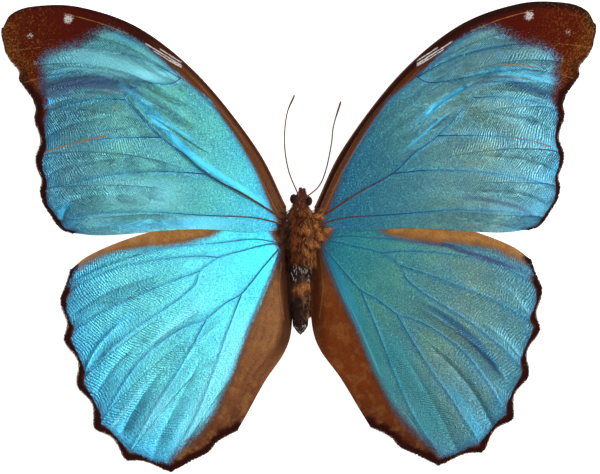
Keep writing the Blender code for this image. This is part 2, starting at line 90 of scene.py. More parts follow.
FOREWING = {
    "costa": [
        (3.35, 6), (10.5, 19.9), (23.6, 36.5), (37.8, 47.9), (51.9, 52.9), (62.5, 53.1), (67.9, 51.3),
        (70, 48),
    ],
    # A vein's end, then the depth and place of the notch that follows it.
    "margin": [
        ((70, 48), -0.3, 0.3), ((69.3, 42.6), 0.85, 0.7), ((65.9, 35.6), 0, 0.5),
        ((62.7, 31.3), 0.5, 0.5), ((62.4, 26.6), 1.25, 0.5), ((62.2, 16.8), 0.75, 0.62),
        ((61.1, 9.4), -0.5, 0.35), ((57.7, 2.3), -0.5, 0.5), ((53.4, -0.3), 0, 0.5),
    ],
    "inner": [
        (3.4, 0.9), (10.7, -0.1), (25.6, 0.6), (45.4, -0.8), (53.4, -0.3),
    ],
    "level": WING_LEVEL,
    "gutter": 0,
    "droop": 0.0022,
    "fold": 0.06,
    "length": 68,
    # The outline of the blue field, beyond the wing's own edge where only the margin bounds it.
    "blue": [
        (5.4, 1), (5.6, 3), (6.8, 5.5), (10.4, 14.5), (14.9, 22.2), (21.2, 31.2), (27, 35.7),
        (32.4, 40.6), (37.4, 44.7), (42.8, 47.4), (46.5, 47.8), (49.1, 46.1), (51.9, 44.2),
        (56.6, 43.1), (59.9, 41.9), (61.3, 40), (60.6, 36.9), (60.8, 33.9), (59.9, 31.1), (60.4, 28.7),
        (64.5, 27), (66, -6), (7, -6), (6.4, 0.2),
    ],
    # Where the blue field's edge is hazy: place, reach and amount; and how soft it is elsewhere.
    "haze": [((52, 44.5), 10, 2.2), ((62, 35), 6.5, 1.3)],
    "soft": 0.2,
    # How far a right wing's blue is set back from the front, and how wide its border is beside a left one's.
    "front_setback": 0,
    "right_margin": 0.66,
    # The dark border's width: place across the margin, and width. It narrows in the notches.
    "dark_margin": [(0, 1.8), (0.35, 2.5), (0.5, 2.4), (0.62, 1.6), (0.85, 1.1), (1, 0.6)],
    "notch": 0.4,
    # Pale marks: streaks by their ends and half width, spots by place, radius and strength.
    "pale_streaks": [
        ((36.4, 44.3), (28, 39.2), 0.14), ((33, 43), (28.1, 39.95), 0.14),
        ((34.6, 42.7), (29.2, 39.3), 0.12), ((30.6, 40.3), (28.2, 38.9), 0.2),
    ],
    "pale_spots": [((54.6, 50.1), 1, 0.8), ((63.6, 46.1), 0.75, 0.45), ((62.2, 39.8), 0.6, 0.35)],
    # Strokes, by the sides they are on and their colour: points, half width and strength. Violet, navy and
    # deep are painted shade along folds, creases and veins; azure and bright are painted highlights; olive
    # is painted shadow; teal is a tone; tan is rubbed scales; gold is golden lines.
    "shades": {
        ("left", "violet"): [
            ([(34, 33), (46, 35.2), (54, 34.8), (68, 30)], 1.8, 0.85),
        ],
        ("left", "navy"): [
            ([(58, 34), (50, 35.6), (43, 35.2), (38, 32.8), (32, 29.4), (25, 24)], 0.5, 0.5),
            ([(43, 32.6), (50, 32.9), (58, 31.4)], 0.3, 0.45),
        ],
        ("left", "bright"): [
            ([(26, 36.6), (39, 39.6), (50, 41), (62, 40)], 2.4, 0.5),
            ([(34.5, 35.4), (45, 37.6), (54, 38.2)], 0.7, 0.65),
            ([(24, 7.8), (38, 8.8), (50, 10)], 2.8, 0.42),
            ([(20, 35), (30, 36.4), (40, 37.4), (50, 38.6)], 1.2, 0.68),
            ([(14, 1.4), (34, 1.2), (54, 1.8)], 1.9, 0.75),
            ([(46, 38.6), (52, 38.8), (58, 38)], 0.4, 0.4),
        ],
        ("left right", "navy"): [
            ([(28.1, 36), (34.2, 39.3), (41, 41.7), (50, 43.3), (58, 43.6)], 0.2, 0.65),
            ([(28.1, 36), (31, 34.7), (36.4, 35.2), (45.4, 36.9), (52.9, 37.5),
              (61, 36.2)], 0.18, 0.55),
        ],
        ("left", "deep"): [
            ([(47, 27), (55, 26), (66, 23)], 2.4, 0.4),
        ],
        ("left", "azure"): [
            ([(46, 38), (39, 31.6), (31.2, 23.3), (25.5, 18.1), (17, 12.1), (4, 3.6)], 0.6, 0.95),
            ([(41, 34), (36.6, 30.4), (31, 25.6)], 0.5, 0.7),
            ([(37.4, 29.4), (31.5, 25.7), (24, 20.9)], 0.26, 0.75),
            ([(53.7, 7.4), (56.4, 4.6), (57, 2.4)], 0.6, 0.8),
            ([(60.4, 31.6), (58.3, 30.6), (56.8, 30.4)], 0.5, 0.7),
            ([(9, 1.6), (22, 2.2), (38, 1.6), (50, 1.2)], 0.9, 0.6),
        ],
        ("left", "tan"): [
            ([(45.5, 22.7), (52.7, 21), (58.1, 19.5), (61, 18)], 0.28, 0.9),
            ([(44.2, 28.8), (42, 30.2)], 0.16, 0.8),
            ([(50.5, 31.9), (46, 32.8), (41.3, 33.3)], 0.13, 0.7),
            ([(60.1, 9.6), (55.6, 11.3)], 0.14, 0.75),
            ([(60.5, 29), (57, 29.6)], 0.15, 0.75),
        ],
        ("left", "olive"): [
            ([(43, 29.8), (47, 29), (51, 28.2)], 1.3, 0.4),
        ],
        ("right", "navy"): [
            ([(46, 34.9), (54.5, 33), (63, 29.2)], 0.75, 0.8),
            ([(40.4, 35.4), (46, 35.9), (52, 35.4)], 0.25, 0.5),
        ],
        ("right", "azure"): [
            ([(38, 35), (46, 37.2), (53, 36.6), (64, 33.2)], 0.8, 0.5),
            ([(26.5, 24.6), (35, 31), (41.4, 34.6)], 0.65, 0.8),
            ([(22, 16.8), (30.4, 23.5), (37, 28.8)], 0.24, 0.85),
            ([(61.4, 29.8), (61.4, 26.4)], 0.7, 0.7),
            ([(61.4, 24.4), (61.2, 19.4)], 0.8, 0.7),
            ([(60.6, 16.2), (60, 11.4)], 0.8, 0.7),
        ],
        ("right", "bright"): [
            ([(31, 28), (35.4, 31.1), (39.8, 33.6)], 0.25, 0.8),
            ([(57, 26.6), (60.2, 22.6)], 0.8, 0.35),
            ([(49, 28.2), (54, 27.3), (59, 25.4)], 0.7, 0.3),
            ([(50, 18.6), (55, 17.3), (59.6, 15.4)], 0.7, 0.3),
        ],
        ("right", "deep"): [
            ([(28, 37.5), (42, 41.5), (56, 41)], 3.4, 0.4),
        ],
        ("right", "violet"): [
            ([(35.3, 7.8), (41.9, 7.3), (46.9, 6.3), (51.7, 4.9), (56.8, 1.6)], 0.45, 0.65),
        ],
        ("right", "olive"): [
            ([(40.2, 28.4), (44, 26.2), (50, 23.2)], 1.5, 0.6),
        ],
        ("right", "tan"): [
            ([(47.7, 38.6), (52, 38.6), (55.9, 37.9)], 0.2, 0.85),
            ([(49.4, 21.6), (54, 20.9), (59, 19.3)], 0.2, 0.9),
            ([(39.2, 29.2), (40, 28.9)], 0.22, 0.8),
        ],
        ("left right", "gold"): [
            ([(40.6, 46.6), (48, 49.4), (55.7, 51.4)], 0.12, 0.85),
            ([(61.3, 43.4), (65, 43), (69, 42.4)], 0.12, 0.7),
            ([(61, 36.3), (64.9, 35.2)], 0.12, 0.7),
        ],
    },
    # Veins: points, radius at the root and at the tip, and from where the scales are rubbed off.
    "veins": {
        "costa": ([(3.5, 5.7), (10.4, 19.5), (23.5, 36.1), (37.7, 47.5), (51.8, 52.5),
                   (62.3, 52.8)], 0.3, 0.12, 0),
        "subcosta": ([(4.2, 4.6), (9.3, 15.2), (17, 27), (26.9, 37.4), (36, 45.2)], 0.26, 0.12, 0),
        "radius": ([(4.7, 4.2), (10.6, 15.5), (17.8, 26.6), (24.6, 33.8), (28.1, 36.1)], 0.26, 0.2, 0),
        "radius_2": ([(24.6, 33.8), (32.2, 41.8), (43, 48.6), (53, 51.7)], 0.17, 0.1, 0),
        "radius_4": ([(28.1, 36.1), (31.3, 39.4), (36.5, 43.4), (43.8, 47.1), (50.1, 50),
                      (59.1, 51.8)], 0.17, 0.09, 0),
        "radius_5": ([(28.1, 36.1), (34.2, 39.4), (41, 41.8), (50, 43.4), (59, 43.8),
                      (69, 42.5)], 0.17, 0.08, 0),
        "media_1": ([(28.1, 36.1), (31, 34.8), (36.4, 35.3), (45.4, 37), (52.9, 37.6), (61, 36.3),
                     (65.6, 35.3)], 0.18, 0.09, 0.45),
        "media_2": ([(37, 35.3), (40, 33.5), (45.4, 34.7), (52.9, 34.5), (58.3, 32.8),
                     (62.2, 31.2)], 0.13, 0.08, 0),
        "media_3": ([(41.3, 31.1), (47.4, 31.3), (52.8, 30.4), (56.8, 29.3), (59.5, 27.9),
                     (62, 26.6)], 0.17, 0.1, 0),
        "cubitus": ([(4.5, 3.3), (13.6, 9), (22, 13.6), (27.2, 18.3), (32.7, 22.3), (39.3, 29),
                     (41.3, 31.1), (40.6, 33.2)], 0.38, 0.16, 0),
        "cubitus_1": ([(32.7, 22.3), (40.8, 22.2), (47.3, 21.8), (52.7, 21), (58.1, 19.6),
                       (61.8, 17.2)], 0.19, 0.12, 0.5),
        "cubitus_2": ([(22, 13.6), (31.6, 14.2), (42.9, 13.6), (51.9, 11.9), (58, 10.4),
                       (60.7, 9.4)], 0.19, 0.11, 0.82),
        "anal": ([(4.5, 1.9), (11.3, 3.4), (22.5, 3.9), (36, 4.7), (49.5, 4.1),
                  (57.2, 2.4)], 0.26, 0.12, 0),
    },
    # Creases: points, height (below 0 is a valley), and reach towards the costa and away from it.
    "creases": {
        "left right": [
            ([(42.7, 27.8), (50.1, 26.4), (55.4, 25), (60.2, 22.4)], -0.17, 0.3, 1.1),
            ([(40.2, 17.7), (52.6, 16.3), (56.6, 15), (60.4, 13)], -0.15, 0.3, 1),
            ([(37.7, 9), (49.8, 8.6), (55.2, 7), (58.7, 5)], -0.15, 0.3, 1),
            ([(43, 33), (50, 32.6), (55, 31.4), (60, 29.5)], -0.14, 0.3, 0.8),
            ([(43, 36), (50, 36.2), (56, 35), (61, 33.6)], 0.08, 0.6, 0.5),
            ([(44, 45), (50, 44.6), (57, 44)], 0.12, 0.8, 0.6),
            ([(34, 40.8), (42, 44.2), (48, 46.6)], -0.12, 0.7, 0.7),
        ],
        "left": [
            ([(7, 4.9), (14, 9.2), (21.7, 13.9), (27.7, 18.7), (32.8, 22.8), (39.4, 30.1),
              (41.4, 32.4)], 0.36, 1.5, 0.4),
            ([(19.8, 17.7), (24.2, 20.2), (31.2, 24.9), (36.5, 28.1)], 0.18, 0.8, 0.22),
            ([(26.4, 26.6), (30.5, 30.7), (38.7, 34.5), (44, 36.2)], 0.2, 0.8, 1),
            ([(54.5, 6.6), (55.5, 4.5), (56.1, 1.9)], -0.25, 1.2, 0.4),
            ([(41, 36.6), (46, 38), (54, 38.6), (60, 37.6)], 0.14, 0.5, 0.7),
        ],
        "right": [
            ([(30, 27.3), (35, 31), (40, 33.8)], -0.35, 1.2, 0.3),
            ([(24.9, 19.3), (30.4, 23.5), (35.6, 27.6)], -0.1, 0.35, 0.3),
            ([(39.7, 33.5), (43.6, 35.6), (48, 37.2)], -0.25, 0.8, 0.3),
        ],
    },
    # Ocelli of the underside: place and radius.
    "ocelli": [((49, 34.2), 2.4), ((49.3, 28.6), 2.1), ((46.5, 18.2), 2.7)],
}
HINDWING = {
    "costa": [
        (3.5, 0.2), (11.8, 2.6), (21.2, 2.4), (31.8, 0.9), (41.7, -2), (49.7, -5.5), (53.9, -8.7),
    ],
    "margin": [
        ((53.9, -8.7), 0.1, 0.5), ((56.4, -15.9), 1.1, 0.6), ((55.5, -25.3), 1.7, 0.52),
        ((52.4, -36.1), 1.6, 0.5), ((48.3, -46.2), 1.4, 0.45), ((40.9, -53.6), 0.8, 0.42),
        ((30.5, -56.4), 0.1, 0.5), ((21.8, -51.8), 0.7, 0.42), ((14.6, -46.4), 0, 0.5),
    ],
    "inner": [
        (3.5, -5), (2.15, -14), (2.1, -22.5), (3.8, -28.3), (8.3, -35.1), (12.5, -42.7), (14.6, -46.4),
    ],
    "level": -WING_LEVEL,
    "gutter": GUTTER_DEPTH,
    "droop": 0,
    "fold": 0.045,
    "length": 55,
    "blue": [
        (7.6, 1.4), (12, 3.6), (16, 2.4), (21.1, -0.9), (27, -2.4), (31.9, -3.2), (35.4, -3.2),
        (42.7, -4.4), (46, -5.2), (51.9, -8.2), (58, -12), (62, -40), (45, -62), (33, -58),
        (30.4, -53.6), (27.2, -50.3), (24, -47.4), (20.1, -42.3), (15.9, -33.4), (12.5, -23.9),
        (9.1, -16.2), (5.5, -7.1), (4.9, -4.4),
    ],
    "haze": [((52, -9), 6, 0.9), ((26, -51), 9, 1)],
    "soft": 0.45,
    "front_setback": 0.9,
    "right_margin": 1,
    "dark_margin": [(0, 1.5), (0.5, 1.7), (0.85, 1.8), (1, 1.6)],
    "notch": 0.62,
    "pale_streaks": [],
    "pale_spots": [],
    # Strokes as for the forewing: painted shade, painted highlight, tone and marks; the left wing's olive
    # lines are scratches.
    "shades": {
        ("left", "azure"): [
            ([(36, -17), (46, -24.8), (53, -36)], 0.95, 0.6),
        ],
        ("left", "bright"): [
            ([(38, -18.4), (46.4, -25.4), (52, -34.4)], 0.4, 0.6),
            ([(20, -14), (30, -22), (36, -27.4)], 1.2, 0.3),
            ([(35, -32.6), (41, -41.5), (46, -47.8)], 0.25, 0.7),
            ([(30, -36), (35, -44), (38, -49)], 1.6, 0.35),
            ([(9, -14), (15, -25), (19.5, -35), (25, -46), (31, -55)], 2.4, 0.4),
        ],
        ("left", "deep"): [
            ([(46, -13), (50, -15.4), (55, -18.4)], 2.2, 0.45),
            ([(42, -33), (46, -38.6), (49, -44)], 1, 0.4),
            ([(34.5, -37), (38.5, -43), (42, -49)], 0.9, 0.5),
            ([(24.5, -36), (29, -44), (33.5, -52)], 1, 0.35),
            ([(21, -37), (24.6, -44), (28, -51)], 1, 0.3),
            ([(33, -12), (41, -14), (48, -17)], 1.6, 0.3),
            ([(41.5, -23), (45, -27), (49, -33.4)], 0.5, 0.4),
        ],
        ("left", "olive"): [
            ([(43, -17.2), (45, -16.4), (46.8, -16.6)], 0.13, 1),
            ([(37.8, -15.9), (40, -15.4), (41.2, -16.2)], 0.13, 1),
        ],
        ("right", "violet"): [
            ([(20, -2.4), (32.9, -4.4), (38.4, -6.4), (43.9, -8.3), (55, -12.9)], 0.5, 0.95),
            ([(30, -20.4), (36, -24.6), (42, -30.6), (48, -38)], 0.5, 0.8),
            ([(8, -14), (15, -32), (21, -43.6), (25.6, -49.6), (31, -55)], 0.3, 0.5),
        ],
        ("right", "deep"): [
            ([(24, -16), (31.8, -20.6), (37.8, -25.1), (41.8, -29.3), (49.6, -39)], 0.75, 0.9),
        ],
        ("right", "azure"): [
            ([(31, -34), (36.6, -42), (43, -54)], 0.8, 0.4),
            ([(3, 0), (8.4, -10.5), (14, -24)], 0.9, 0.45),
        ],
        ("right", "teal"): [
            ([(14, -20), (22, -32), (29, -45), (33, -54)], 3.2, 0.5),
            ([(7.4, -9), (12.4, -20), (16.6, -31), (20.6, -40), (24.4, -47)], 1.6, 0.6),
        ],
        ("right", "bright"): [
            ([(43, -13), (48.5, -16.4), (53.6, -22.6)], 0.28, 0.6),
            ([(42.5, -23.8), (46.6, -27.3), (51, -32.6)], 0.5, 0.4),
            ([(44.6, -33), (48.6, -38.4)], 0.2, 0.6),
            ([(8.4, -12), (12.8, -22), (16.2, -31), (19, -38)], 0.14, 0.8),
        ],
        ("left right", "gold"): [
            ([(4.6, -7.6), (5, -12.5), (4.7, -16), (3.9, -20.7)], 0.17, 0.6),
        ],
    },
    "veins": {
        "subcosta": ([(5.2, -2.6), (10.7, -1.7), (18.6, -2.5), (28.3, -3.4), (36.5, -5), (46.9, -8.5),
                      (53.4, -11.7)], 0.2, 0.11, 0),
        "radius": ([(5, -2.9), (7.8, -2.9), (13.2, -4.3), (19.1, -6), (23.6, -9.2),
                    (24.2, -10.8)], 0.24, 0.16, 0),
        "sector": ([(19.1, -6), (22.8, -5.7), (27.6, -5.9), (35.2, -6.8), (44.7, -9.2), (54.8, -14.4),
                    (56.1, -15.5)], 0.17, 0.11, 0),
        "media_1": ([(23.6, -9.2), (28.6, -11), (34.9, -13.6), (44.3, -17.8), (53.2, -23.2),
                     (55.2, -25.2)], 0.17, 0.11, 0),
        "media_2": ([(24.2, -10.8), (24.9, -12.5), (29.5, -16.5), (39.3, -23.1), (47.6, -30.4),
                     (52, -35.9)], 0.17, 0.11, 0),
        "media_3": ([(28, -22.7), (31.5, -25), (37.7, -30.2), (43.4, -38.4), (46, -43.3),
                     (48.1, -45.9)], 0.17, 0.11, 0),
        "cubitus": ([(5.3, -4.1), (9.4, -9.1), (13.7, -14.4), (17.5, -16.7), (22.2, -20.5),
                     (24.5, -21.3), (28, -22.7)], 0.28, 0.17, 0),
        "cubitus_1": ([(22.2, -20.7), (26, -27.8), (30.1, -34.8), (34.3, -41.3), (39.4, -50.1),
                       (40.7, -53.2)], 0.19, 0.11, 0),
        "cubitus_2": ([(13.9, -14.7), (17.1, -23.3), (21.1, -34.8), (25.2, -44.9), (30.2, -53.2),
                       (30.5, -56)], 0.2, 0.11, 0),
        "anal_2": ([(5.1, -4.7), (7.7, -11.7), (10, -17.7), (12.6, -24.1)], 0.22, 0.08, 0),
        "anal_3": ([(4.6, -7), (5, -12.5), (4.7, -16), (3.9, -20.7)], 0.22, 0.12, 0),
    },
    "creases": {
        "left right": [
            ([(7.6, -16), (9.5, -24), (12, -31), (15.5, -39)], -0.12, 0.7, 0.7),
        ],
        "left": [
            ([(30, -9.2), (38, -11.4), (46, -14.4), (54.5, -20)], -0.1, 0.5, 0.5),
            ([(32.6, -32.1), (38, -39.5), (42.7, -47.9)], -0.28, 0.35, 1.5),
            ([(38.2, -25.7), (43.5, -31), (48.3, -38.1)], -0.2, 0.5, 0.8),
            ([(40.9, -20), (47.4, -26.4), (51.2, -33.3)], 0.2, 0.4, 1.2),
            ([(22.8, -17.9), (29, -21.8), (35.6, -26.8)], -0.12, 0.6, 0.6),
            ([(22, -27), (27, -36.5), (32, -46), (35.5, -54.5)], -0.1, 0.5, 0.9),
            ([(16, -19), (24, -26), (31, -34)], 0.07, 0.8, 0.8),
        ],
        "right": [
            ([(20.1, -2.5), (27.6, -3.4), (38.7, -5.6), (45.9, -8.1), (53.7, -11.7)], -0.12, 0.5, 0.5),
            ([(24.4, -16.9), (30.7, -21.1), (37.9, -26.4), (43, -31), (48.3, -37.2)], 0.2, 0.4, 1.6),
            ([(28.1, -26.7), (35.3, -33.9), (40.2, -40.6), (44.6, -49.6)], -0.24, 0.3, 1.4),
            ([(42.7, -12.8), (48.5, -15.9), (53.3, -21.9)], 0.12, 0.6, 0.4),
            ([(41.3, -22.9), (46.6, -26.8), (50.8, -31.7)], 0.12, 0.6, 0.4),
            ([(22, -27), (27, -36.5), (32, -46), (35.5, -54.5)], -0.08, 0.6, 0.6),
        ],
    },
    "ocelli": [((37, -10.5), 2.9), ((39.5, -26.5), 2.6), ((33.5, -32.5), 2.8), ((26.5, -39), 2.4)],
}


# ---------------------------------------------------------------- curves and fields


def unit(vectors):
    return vectors / np.maximum(np.linalg.norm(vectors, axis=-1, keepdims=True), 1e-12)


def chords(points):
    """The lengths of a polyline's stretches."""
    return np.linalg.norm(np.diff(np.asarray(points, float), axis=0), axis=1)


def curve(points, fraction):
    """Points at fractions of the way along a Catmull-Rom curve, spans weighted by their chords."""
    points = np.asarray(points, float)
    padded = np.vstack([2 * points[0] - points[1], points, 2 * points[-1] - points[-2]])
    ends = np.concatenate([[0], np.cumsum(chords(points))])
    left = np.clip(fraction, 0, 1) * ends[-1]
    span = np.clip(np.searchsorted(ends, left, side="right") - 1, 0, len(ends) - 2)
    t = ((left - ends[span]) / (ends[span + 1] - ends[span]))[..., None]
    a, b, c, d = (padded[span + i] for i in range(4))
    return (2 * b + (c - a) * t + (2 * a - 5 * b + 4 * c - d) * t**2 + (3 * b - a - 3 * c + d) * t**3) / 2


def smooth(value, low, high):
    """0 below low, 1 above high, and a smooth step between."""
    t = np.clip((value - low) / (high - low), 0, 1)
    return t * t * (3 - 2 * t)


def lattice_noise(x, y, seed):
    """Smooth noise between -1 and 1, about one wave to each unit of x and y."""
    size = 256
    values = np.random.default_rng(seed).uniform(-1, 1, (size, size))
    column, row = np.floor(x).astype(int), np.floor(y).astype(int)
    u, v = smooth(x - column, 0, 1), smooth(y - row, 0, 1)
    corner = [[values[(row + j) % size, (column + i) % size] for i in (0, 1)] for j in (0, 1)]
    upper = corner[0][0] * (1 - u) + corner[0][1] * u
    lower = corner[1][0] * (1 - u) + corner[1][1] * u
    return upper * (1 - v) + lower * v


def nearest(points, line):
    """Distance to a polyline, how far along it its nearest place is, and the side: 1 left, -1 right."""
    line = np.asarray(line, float)
    lengths = chords(line)
    before = np.concatenate([[0], np.cumsum(lengths)])
    best = np.full(points.shape[:-1], np.inf)
    place, side = np.zeros_like(best), np.ones_like(best)
    for k, length in enumerate(lengths):
        step = (line[k + 1] - line[k]) / max(length, 1e-9)
        gap = points - line[k]
        run = np.clip(gap @ step, 0, length)
        away = np.linalg.norm(gap - run[..., None] * step, axis=-1)
        closer = away < best
        best = np.where(closer, away, best)
        place = np.where(closer, (before[k] + run) / before[-1], place)
        side = np.where(closer, np.sign(step[0] * gap[..., 1] - step[1] * gap[..., 0]), side)
    return best, place, side


def distance_to(points, line):
    return nearest(points, line)[0]


def distance_from(plan, centre):
    return np.linalg.norm(plan - np.array(centre), axis=-1)


def signed_distance(points, polygon):
    """Distance to a closed outline, positive inside it."""
    outline = np.asarray(polygon + polygon[:1], float)
    inside = np.zeros(points.shape[:-1], bool)
    x, y = points[..., 0], points[..., 1]
    for (ax, ay), (bx, by) in zip(outline, outline[1:]):
        if ay == by:
            continue
        crossing = (ay > y) != (by > y)
        inside ^= crossing & (x < ax + (y - ay) / (by - ay) * (bx - ax))
    distance = distance_to(points, outline)
    return np.where(inside, distance, -distance)


# ---------------------------------------------------------------- the wings' form


def margin_points(rows, across):
    """Points of the scalloped outer margin; across runs from 0 at the costa to 1 at the inner margin."""
    place = np.clip(across, 0, 1) * (len(rows) - 1)
    index = np.minimum(place.astype(int), len(rows) - 2)
    t = place - index
    ends, depths, deepest = (np.array(column) for column in zip(*rows))
    depth = depths[index]
    skew = math.log(0.5) / np.log(deepest[index])
    chord = ends[index + 1] - ends[index]
    inwards = unit(np.stack([chord[..., 1], -chord[..., 0]], axis=-1))
    bulge = depth * (1 - np.cos(2 * np.pi * t**skew)) / 2
    return ends[index] + chord * t[..., None] + inwards * bulge[..., None]


def wing_plan(wing, along, across):
    """A Coons patch between the costa, the outer margin, the inner margin and the root."""

    def between(a, b, t):
        return a + (b - a) * t[..., None]

    front, rear = np.array(wing["costa"][0]), np.array(wing["inner"][0])
    tip, tail = np.array(wing["costa"][-1]), np.array(wing["inner"][-1])
    root = between(front, rear, across)
    outer = margin_points(wing["margin"], across)
    sides = between(curve(wing["costa"], along), curve(wing["inner"], along), across)
    return sides + between(root, outer, along) - between(root, between(tip, tail, across), along)


def set_out(plan, kind, side):
    """A wing's plan where it lies: a right wing is swung about its root and slid a little."""
    if side == "left":
        return plan
    pivot = np.array(SWING_CENTRE[kind])
    angle = math.radians(SWING[kind])
    turn = np.array([[math.cos(angle), -math.sin(angle)], [math.sin(angle), math.cos(angle)]])
    return pivot + (plan - pivot) @ turn.T + (0, SLIDE[kind])


def place_plan(plan, kind, side):
    """A wing's plan where it lies in the frame, (x, y) in metres."""
    return (set_out(plan, kind, side) * (SIGN[side], 1) + ROOT[:2]) * MM


def frame_height(wing, along, across, out):
    """The height of the frame's wing: dihedral, folds between the veins, and the gutter."""
    rise = DIHEDRAL * out - FLATTENING * out**2
    folds = wing["fold"] * along**2 * np.cos(2 * np.pi * INTERSPACES * across)
    clear = np.maximum(out - GUTTER_START, 0) / GUTTER_WIDTH
    droop = wing["droop"] * np.maximum(out - DROOP_START, 0) ** 2 * smooth(across, 0.1, 0.5)
    return wing["level"] + rise + folds - droop - wing["gutter"] * across**2 * np.exp(-(clear**1.5))


def vein_line(points):
    """A vein's curve as a polyline."""
    return curve(points, np.linspace(0, 1, max(int(chords(points).sum() / LINE_STEP), 4)))


def spread_out(wing, along, across):
    """Rough distances along the wing and across it."""
    return along * wing["length"], across * wing["length"] * BREADTH


def relief(wing, side, along, across, plan, vein_distance, seed):
    """What the frame's wing leaves out: ridges at the veins, sharp creases, grain and buckles."""
    height = RIDGE_HEIGHT * np.exp(-((vein_distance / RIDGE_REACH) ** 2))
    for sides, rows in wing["creases"].items():
        for points, depth, front, rear in rows if side in sides else []:
            distance, place, flank = nearest(plan, vein_line(points))
            fade = smooth(place, 0, 0.3) * smooth(place, 1, 0.9)
            height += depth * np.exp(-distance / np.where(flank > 0, front, rear)) * fade
    out, over = spread_out(wing, along, across)
    for extra_seed, (depth, wave_out, wave_over) in ((2, GRAIN), (3, BUCKLES)):
        noise = lattice_noise(out / wave_out, over / wave_over, seed + extra_seed)
        height += depth * smooth(along, 0.2, 0.8) * noise
    return height


def ripple_fields(wing, along, across, seed):
    """The ripples across the membrane: how many waves in each place is, and how strong they are there."""
    out, over = spread_out(wing, along, across)
    within = (across * INTERSPACES) % 1
    lean = 0.35 + 1.2 * (1 - along)
    coarse, fine = lattice_noise(out / 1.6, over / 1.4, seed), lattice_noise(out / 0.7, over / 0.6, seed + 4)
    warp = 0.22 * coarse + 0.12 * fine
    phase = out + lean * within * wing["length"] * BREADTH / INTERSPACES + warp
    patches = 0.55 + 0.45 * lattice_noise(out / 2.6, over / 1.6, seed + 1)
    strength = smooth(along, 0.34, 0.7) * patches * (0.35 + 0.65 * smooth(within, 0.8, 0.2))
    return {"ripple": phase / RIPPLE_WAVE, "rippled": strength}


def grid_quads(rows, columns):
    index = np.arange(rows * columns).reshape(rows, columns)
    return np.stack([index[:-1, :-1], index[1:, :-1], index[1:, 1:], index[:-1, 1:]], axis=-1).reshape(-1, 4)


def grid_normals(points):
    """The upward normals of a grid of points."""
    normals = unit(np.cross(np.gradient(points, axis=0), np.gradient(points, axis=1)))
    return normals * np.sign(normals[..., 2:])


def grid_rim(index):
    """The indices round the border of a grid, in order."""
    return np.concatenate([index[:-1, 0], index[-1, :-1], index[:0:-1, -1], index[0, :0:-1]])


def add_mesh(name, verts, faces, finishes, attributes=None, face_finish=None, smooth_shaded=True):
    """An object from arrays: verts in metres, and faces as a list of index arrays of like-sided faces."""
    mesh = bpy.data.meshes.new(name)
    counts = np.concatenate([np.full(len(f), f.shape[1]) for f in faces])
    corners = np.concatenate([f.ravel() for f in faces])
    starts = np.concatenate([[0], np.cumsum(counts)[:-1]])
    mesh.vertices.add(len(verts))
    mesh.vertices.foreach_set("co", np.asarray(verts, np.float32).ravel())
    mesh.loops.add(len(corners))
    mesh.loops.foreach_set("vertex_index", corners.astype(np.int32))
    mesh.polygons.add(len(counts))
    mesh.polygons.foreach_set("loop_start", starts.astype(np.int32))
    for finish in finishes:
        mesh.materials.append(finish)
    if face_finish is not None:
        mesh.polygons.foreach_set("material_index", face_finish.astype(np.int32))
    for key, values in (attributes or {}).items():
        made = mesh.attributes.new(key, "FLOAT", "POINT")
        made.data.foreach_set("value", np.asarray(values, np.float32).ravel())
    mesh.update(calc_edges=True)
    mesh.validate()
    if smooth_shaded:
        mesh.shade_smooth()
    made = bpy.data.objects.new(name, mesh)
    bpy.context.scene.collection.objects.link(made)
    return made


def add_unwrap(obj, uv):
    """The UV map OFBake, from one (u, v) for each vertex."""
    mesh = obj.data
    corners = np.empty(len(mesh.loops), np.int32)
    mesh.loops.foreach_get("vertex_index", corners)
    layer = mesh.uv_layers.new(name="OFBake")
    layer.data.foreach_set("uv", np.asarray(uv, np.float32)[corners].ravel())


# The strokes' fields: painted shade (violet, navy, deep), painted highlight (azure, bright), painted shadow
# and scratches (olive), a tone (teal), rubbed scales (tan) and golden lines (gold).
SHADES = ("violet", "navy", "deep", "teal", "azure", "bright", "olive", "tan", "gold")
LINES = ("olive", "tan", "gold")  # these don't fade towards their ends


def blue_field(wing, side, across, plan, margin):
    """How far inside the blue field's edge each place is, and how hazy that edge is there."""
    hollow = np.sin(np.pi * ((across * INTERSPACES) % 1)) ** 2
    border = np.interp(across, *zip(*wing["dark_margin"])) * (1 - wing["notch"] * hollow)
    inside = signed_distance(plan, wing["blue"])
    if side == "right":
        border = border * wing["right_margin"]
        inside = inside - wing["front_setback"] * smooth(across, 0.5, 0.25)
    haze = 0.2 + wing["soft"] * smooth(margin, border + 0.4, border + 3)
    for centre, reach, amount in wing["haze"]:
        haze += amount * np.exp(-((distance_from(plan, centre) / reach) ** 2))
    return np.minimum(inside, margin - border), haze


def pale_marks(wing, plan):
    """How strong the white streaks and spots are, from 0 to 1."""
    pale = np.zeros(plan.shape[:-1])
    for start, end, width in wing["pale_streaks"]:
        pale = np.maximum(pale, np.clip(1.5 - distance_to(plan, [start, end]) / width, 0, 1))
    for centre, radius, strength in wing["pale_spots"]:
        pale = np.maximum(pale, strength * np.clip(1.6 - distance_from(plan, centre) / radius, 0, 1))
    return pale


def shade_fields(wing, side, plan):
    """How strong each stroke is, from 0 to 1; most strokes are painted shade or painted highlight."""
    shades = {shade: np.zeros(plan.shape[:-1]) for shade in SHADES}
    for (sides, shade), rows in wing["shades"].items():
        for points, width, strength in rows if side in sides else []:
            distance, place, _ = nearest(plan, vein_line(points))
            fade = 1 if shade in LINES else smooth(place, 0, 0.35) * smooth(place, 1, 0.75)
            stroke = strength * fade * smooth(distance, width * 1.8, width * 0.4)
            shades[shade] = np.maximum(shades[shade], stroke)
    return shades


